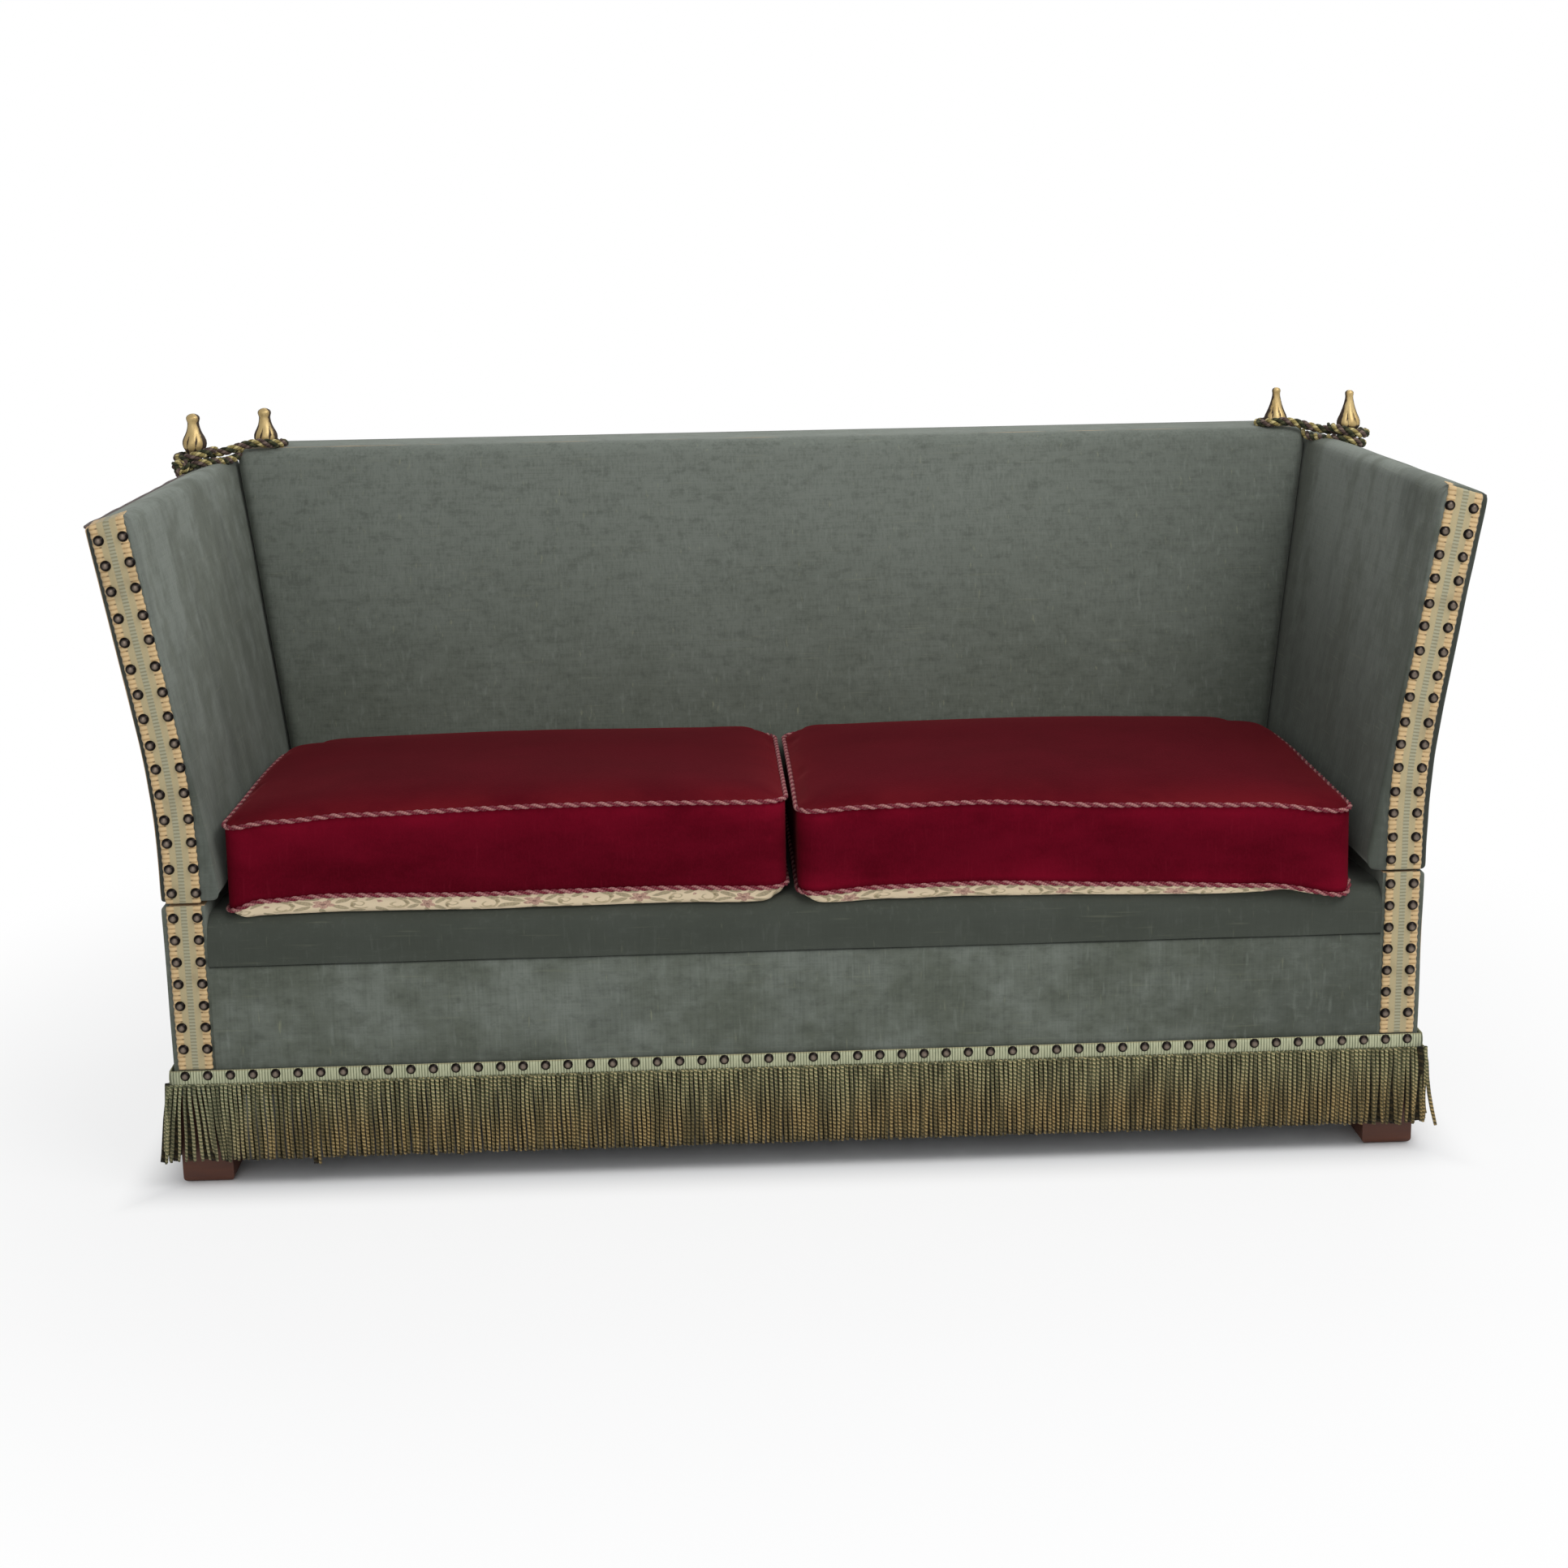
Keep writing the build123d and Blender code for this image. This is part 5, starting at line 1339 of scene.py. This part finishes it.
class SOFA_OT_cushions(bpy.types.Operator):
    """Loose boxed cushions, swelled by a short cloth simulation, piped on both seams"""
    bl_idname = "sofa.cushions"
    bl_label = "Cushions"

    def execute(self, context):
        for side, way in SIDES:
            self.cushion(side, way)
        return {"FINISHED"}

    def cushion(self, side, way):
        low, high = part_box(f"{side}_cushion_piping")
        outer_room, inner_room = (0.002, 0.003) if way < 0 else (0.003, 0.002)
        x0, x1 = low[0] - outer_room, high[0] + inner_room
        y0, y1 = low[1] + 0.004, high[1] - 0.004
        upper_levels, lower_levels = SEAM_LEVELS[side]

        def denser(t):
            """Places along a side, closer together near its ends."""
            return 0.55 * t + 0.225 * (1 - math.cos(math.pi * t))

        def deck_z(y):
            """Top of the seat's rolled front edge and of the deck behind it."""
            if y < FRONT:
                return 0.0
            back = min(y - FRONT, LIP_ROLL)
            roll = math.sqrt(LIP_ROLL ** 2 - (LIP_ROLL - back) ** 2)
            fall = max(0.0, y - FRONT - LIP_REACH) * math.tan(SEAT_TILT)
            return DECK_TOP - LIP_ROLL + roll - fall

        def between(table, x):
            """Value at x in a table of places and values."""
            for (a, one), (b, two) in zip(table, table[1:]):
                if x <= b:
                    share = clamp((x - a) / (b - a))
                    return one + (two - one) * share * share * (3 - 2 * share)
            return table[-1][1]

        def shoulder(distance, reach):
            """Steep round rise beside a seam."""
            return math.sqrt(1 - (1 - min(1, distance / reach)) ** 2)

        def rise(distance, reach, power=2.4):
            return 1 - (1 - min(1, distance / reach)) ** power

        def place(u, v, w):
            """Rounded plan, straight boxing, in the cushion's own upright frame."""
            x = x0 + (x1 - x0) * denser(u)
            y = y0 + (y1 - y0) * denser(v)
            corner = 0.032 if v < 0.5 else 0.088 if (u - 0.5) * way > 0 else 0.055
            cx = min(max(x, x0 + corner), x1 - corner)
            cy = min(max(y, y0 + corner), y1 - corner)
            off = Vector((x - cx, y - cy, 0))
            reach = max(abs(off.x), abs(off.y))
            if off.length > 1e-6:
                off = off.normalized() * reach
            return Vector((cx + off.x, cy + off.y, BOXING * w))

        bm = grid_cube((84, 58, 12))
        for face in bm.faces:
            w = face.calc_center_median().z
            face.material_index = 2 if w < EDGE else 1 if w > 1 - EDGE else 0
        glow = bm.verts.layers.float.new("rim")
        uv = bm.loops.layers.uv.new("UVMap")
        spots = {}
        top_ring = {}
        low_ring = {}
        bm.verts.index_update()
        for vert in bm.verts:
            u, v, w = vert.co
            rim = u < EDGE or u > 1 - EDGE or v < EDGE or v > 1 - EDGE
            if rim and (w < EDGE or w > 1 - EDGE):
                angle = (math.atan2(v - 0.5, u - 0.5) - math.pi / 2) % (2 * math.pi)
                (top_ring if w > 0.5 else low_ring)[vert.index] = angle
            across, deep = denser(u) * (x1 - x0), denser(v) * (y1 - y0)
            outer, inner = (across, x1 - x0 - across) if way < 0 else (x1 - x0 - across, across)
            far = y1 - y0 - deep
            beside = min(outer, inner)
            spot = place(u, v, w)
            crown = belly = 0.0
            if w > 1 - EDGE:
                crown = 0.010 * shoulder(min(outer, far), 0.026)
                crown = crown * rise(inner, 0.06) * rise(deep, 0.08)
                crown += 0.012 * rise(beside, 0.32, 2.2) * rise(min(deep, far), 0.21, 2.6)
                crown -= 0.010 * math.exp(-(outer + far) / 0.10)
                # Painted sheen on the top near its rim
                vert[glow] = math.exp(-min(outer, inner * 1.5, deep * 1.3, far) / 0.045)
            elif w < EDGE:
                belly = 0.030 * shoulder(outer, 0.030) * shoulder(inner, 0.11)
                belly = belly * shoulder(deep, 0.013) * shoulder(far, 0.030)
                if way > 0:
                    belly *= 1 - 0.9 * math.exp(-((outer / 0.15) ** 2))
            else:
                # Painted sheen by the boxing's seams and its inner side
                worn = math.exp(-(1 - w) * BOXING / 0.024) + 0.35 * math.exp(-beside / 0.07)
                vert[glow] = worn + 0.35 * (1 + way) * math.exp(-w * BOXING / 0.026)
            spots[vert.index] = (spot.x, deep + belly)
            spot.z += crown - belly
            vert.co = spot
        for face in bm.faces:
            for loop in face.loops:
                loop[uv].uv = spots[loop.vert.index]
        mesh = to_mesh(bm)
        mesh = self.swelled(mesh)

        # Tilted back onto the deck, with the sag and the drooping front seams of use
        front_foot = 0.4075
        tilted = Matrix.Translation(Vector((0, y0, front_foot))) \
            @ Matrix.Rotation(-SEAT_TILT, 4, "X") @ Matrix.Translation(Vector((0, -y0, 0)))
        for vert in mesh.vertices:
            p = vert.co
            high = clamp(p.z / BOXING)
            sag = 0.0035 * wobble(Vector((p.x, p.y, 0.3 * way)), 0.21, 11 + way)
            fade = max(0.0, 1 - (p.y - y0) / (y1 - y0)) ** 1.5
            warp = between(upper_levels, p.x) * high + between(lower_levels, p.x) * (1 - high)
            push = 0.010 * max(0.0, (p.x - 0.35) / 0.39) * fade
            spot = tilted @ (p + Vector((0, -push, sag * (0.3 + high / 2) + warp * fade)))
            spot.z = max(spot.z, deck_z(spot.y) + 0.0012)
            vert.co = spot
        rings = [[mesh.vertices[i].co.copy() for i in sorted(ring, key=ring.get)]
                 for ring in (low_ring, top_ring)]
        middle = sum((v.co for v in mesh.vertices), Vector()) / len(mesh.vertices)
        mesh = baked(mesh, [subdivision(1)])
        piece = keep(f"{side}_cushion_velvet", mesh, f"{side}_cushion", None,
                     tuple(f"{side}_cushion_{part}" for part in ("core", "cover", "underside")))
        # The top's copy is darker, a painted shade, and has its own colour of painted sheen
        for name, make in (
                ("crimson_boxing", lambda n: crimson_velvet(n, 0.05, 0.9)),
                ("crimson_top", lambda n: crimson_velvet(
                    n, 0.16, 0.5, 0.72, (0.150, 0.0090, 0.0135))),
                ("floral_cotton", floral_cotton)):
            mesh.materials.append(finish_of(name, make))
        self.piping(side, rings, middle)

    def piping(self, side, rings, middle):
        """Two-ply cord along both seams, a little outside them."""
        cords = []
        for ring in rings:
            line = []
            for i, p in enumerate(ring):
                run = (ring[(i + 1) % len(ring)] - ring[i - 1]).normalized()
                out = Vector((run.y, -run.x, 0)).normalized()
                if out.dot(Vector((p.x - middle.x, p.y - middle.y, 0))) < 0:
                    out.negate()
                line.append(p + out * 0.0012)
            wound = strand_lines(evenly(line + line[:1], 0.0028), 2, 0.0015, 0.022)
            cords += [yarn_tube(strand, lambda t: 0.0020, 6, k) for k, strand in enumerate(wound)]
        mesh = to_mesh(joined(cords))
        keep(f"{side}_cushion_cord", mesh, f"{side}_cushion", None,
             (f"{side}_cushion_piping",))
        for name, plies in PIPING_PLIES:
            mesh.materials.append(finish_of(name, lambda n: plied(n, plies, 300.0, 0.3, 0.2)))

    def swelled(self, mesh):
        """The shell after twenty frames of cloth under pressure, each point held near its start."""
        rest = [v.co.copy() for v in mesh.vertices]
        holder = bpy.data.objects.new("swelling", mesh)
        bpy.context.scene.collection.objects.link(holder)
        cloth = holder.modifiers.new("Cloth", "CLOTH")
        cloth.settings.use_pressure = True
        cloth.settings.uniform_pressure_force = 4.0
        cloth.settings.effector_weights.gravity = 0.0
        cloth.settings.quality = 5
        cloth.settings.tension_stiffness = 25
        cloth.settings.bending_stiffness = 0.6
        last = 20
        cloth.point_cache.frame_start = 1
        cloth.point_cache.frame_end = last
        for step in range(1, last + 1):
            bpy.context.scene.frame_set(step)
        graph = bpy.context.evaluated_depsgraph_get()
        done = bpy.data.meshes.new_from_object(holder.evaluated_get(graph))
        bpy.data.objects.remove(holder)
        bpy.context.scene.frame_set(1)
        middle = sum(rest, Vector()) / len(rest)
        limit = 0.0028
        for vert, start in zip(done.vertices, rest):
            move = vert.co - start
            level = Vector((move.x, move.y, 0))
            if level.dot(start - middle) < 0:
                level *= 0.15
            if level.length > limit:
                level = level.normalized() * limit
            swell = clamp(max(start.z - BOXING, -start.z) / 0.008)
            lift = max(-0.003, min(0.004, move.z)) * (0.10 + 0.90 * swell)
            vert.co = start + level + Vector((0, 0, lift))
        return done


class SOFA_OT_finishes(bpy.types.Operator):
    """Materials of the CAD pieces that stay: timber, feet, nails, hinges, webbing and springs"""
    bl_idname = "sofa.finishes"
    bl_label = "Finishes"

    def execute(self, context):
        makers = {
            "frame_timber": sawn_timber,
            "foot_wood": stained_wood,
            "bronze_nail": bronze,
            "hinge_steel": lambda n: brushed_metal(n, (0.30, 0.29, 0.27), (0.52, 0.50, 0.47)),
            "spring_steel": lambda n: brushed_metal(n, (0.14, 0.14, 0.15), (0.32, 0.32, 0.33)),
            "stuffing": lambda n: plain_cloth(n, (0.55, 0.50, 0.40), (0.75, 0.70, 0.60), 300),
            "jute_webbing": lambda n: plain_cloth(n, (0.26, 0.18, 0.09), (0.48, 0.36, 0.20), 400),
            "dust_cloth": lambda n: plain_cloth(n, (0.010,) * 3, (0.030,) * 3, 500),
        }
        slots = {part["node"]: part["material_slot"] for part in frame["record"]["subparts"]}
        for node, piece in NODES.items():
            maker = makers.get(slots[node])
            if maker is None:
                continue
            piece.data.materials.clear()
            piece.data.materials.append(finish_of(slots[node], maker))
        return {"FINISHED"}


class SOFA_OT_stage(bpy.types.Operator):
    """Pale floor and backdrop, soft lamps and the camera of the photograph"""
    bl_idname = "sofa.stage"
    bl_label = "Stage"

    def execute(self, context):
        stage = context.scene.sofa_stage
        scene = context.scene
        scene.view_settings.view_transform = "Standard"
        bm = bmesh.new()
        bmesh.ops.create_grid(bm, x_segments=1, y_segments=1, size=14.0)
        floor = bpy.data.objects.new("floor", to_mesh(bm))
        scene.collection.objects.link(floor)
        s = Shader("floor_white")
        s.finish(stage.ground, 0.9)
        # Pure white to the camera away from the sofa, plain and shaded beneath it
        seen = s.node("ShaderNodeLightPath", output="Is Camera Ray")
        spot = s.node("ShaderNodeTexCoord", output="Object")
        away = s.node("ShaderNodeVectorMath", {"operation": "LENGTH"}, [spot], 1)
        glow = s.node("ShaderNodeEmission", {}, {"Color": (1, 1, 1), "Strength": 1.0})
        x, y, _ = s.split("Object")
        beside = s.node("ShaderNodeMath", {"operation": "MAXIMUM"},
                        [x.abs() - 0.83, y.abs() - 0.345])
        far = away.smooth(0.95, 1.7) * 0.22 + beside.smooth(-0.01, 0.10) * 0.78
        shaded = Socket(s, s.surface.outputs[0])
        mixed = s.node("ShaderNodeMixShader", {}, [seen * far, shaded, glow])
        s.link(mixed, s.tree.nodes["Material Output"].inputs["Surface"])
        floor.data.materials.append(s.material)

        world = bpy.data.worlds.new("studio")
        scene.world = world
        world.use_nodes = True
        tree = world.node_tree
        back = tree.nodes["Background"]
        back.inputs["Color"].default_value = (0.95, 0.97, 1.0, 1)
        back.inputs["Strength"].default_value = 0.45
        path = tree.nodes.new("ShaderNodeLightPath")
        white = tree.nodes.new("ShaderNodeBackground")
        white.inputs["Color"].default_value = (1, 1, 1, 1)
        white.inputs["Strength"].default_value = 1.0
        blend = tree.nodes.new("ShaderNodeMixShader")
        tree.links.new(path.outputs["Is Camera Ray"], blend.inputs[0])
        tree.links.new(back.outputs[0], blend.inputs[1])
        tree.links.new(white.outputs[0], blend.inputs[2])
        tree.links.new(blend.outputs[0], tree.nodes["World Output"].inputs["Surface"])

        def lamp(name, at, size, power):
            light = bpy.data.lights.new(name, "AREA")
            light.shape = "RECTANGLE"
            light.size, light.size_y = size
            light.energy = power
            holder = bpy.data.objects.new(name, light)
            scene.collection.objects.link(holder)
            holder.location = at
            aim = Vector((0, 0, 0.5)) - Vector(at)
            holder.rotation_euler = aim.to_track_quat("-Z", "Y").to_euler()

        lamp("key", (1.7, -1.7, 3.2), (2.2, 1.6), stage.key * 1.05)
        lamp("fill", (-0.9, -3.0, 1.7), (1.8, 1.6), stage.key * 0.24)
        lamp("rear", (0.5, 2.2, 2.6), (3.0, 1.4), stage.key * 0.45)

        # The camera as solved from the photograph: lengths in its pixels, then place and turn
        picture, focal, middle_y = 1932, 2640.46, 800
        camera = bpy.data.cameras.new("camera")
        camera.sensor_width = 36.0
        camera.lens = focal / picture * camera.sensor_width
        camera.shift_y = (middle_y - picture / 2) / picture
        holder = bpy.data.objects.new("camera", camera)
        scene.collection.objects.link(holder)
        yaw, pitch, roll = -0.0349, -0.2057, -0.0173
        holder.location = (-0.1099, -2.7227 + FRONT, 1.2925)
        turn = Matrix.Rotation(yaw, 3, "Z") @ Matrix.Rotation(math.pi / 2 + pitch, 3, "X") \
            @ Matrix.Rotation(roll, 3, "Z")
        holder.rotation_euler = turn.to_euler()
        scene.camera = holder
        return {"FINISHED"}


class SOFA_PT_panel(bpy.types.Panel):
    """Lists the pieces of the sofa"""
    bl_idname = "SOFA_PT_panel"
    bl_label = "Drop arm sofa"
    bl_space_type = "VIEW_3D"
    bl_region_type = "UI"
    bl_category = "Sofa"

    def draw(self, context):
        for operator in OPERATORS:
            self.layout.operator(operator.bl_idname)
        for group in (context.scene.sofa_cloth, context.scene.sofa_trim, context.scene.sofa_stage):
            for key in group.__annotations__:
                self.layout.prop(group, key)


OPERATORS = (
    SOFA_OT_stage, SOFA_OT_finishes, SOFA_OT_base, SOFA_OT_arms, SOFA_OT_back, SOFA_OT_braids,
    SOFA_OT_fringe, SOFA_OT_ropes, SOFA_OT_finials, SOFA_OT_cushions,
)
GROUPS = (SofaCloth, SofaTrim, SofaStage)


def register():
    for kind in GROUPS + OPERATORS + (SOFA_PT_panel,):
        bpy.utils.register_class(kind)
    bpy.types.Scene.sofa_cloth = bpy.props.PointerProperty(type=SofaCloth)
    bpy.types.Scene.sofa_trim = bpy.props.PointerProperty(type=SofaTrim)
    bpy.types.Scene.sofa_stage = bpy.props.PointerProperty(type=SofaStage)


def unregister():
    del bpy.types.Scene.sofa_stage
    del bpy.types.Scene.sofa_trim
    del bpy.types.Scene.sofa_cloth
    for kind in reversed(GROUPS + OPERATORS + (SOFA_PT_panel,)):
        bpy.utils.unregister_class(kind)


def main():
    register()
    for operator in OPERATORS:
        getattr(bpy.ops.sofa, operator.bl_idname.split(".")[1])()


if __name__ == "__main__":
    main()
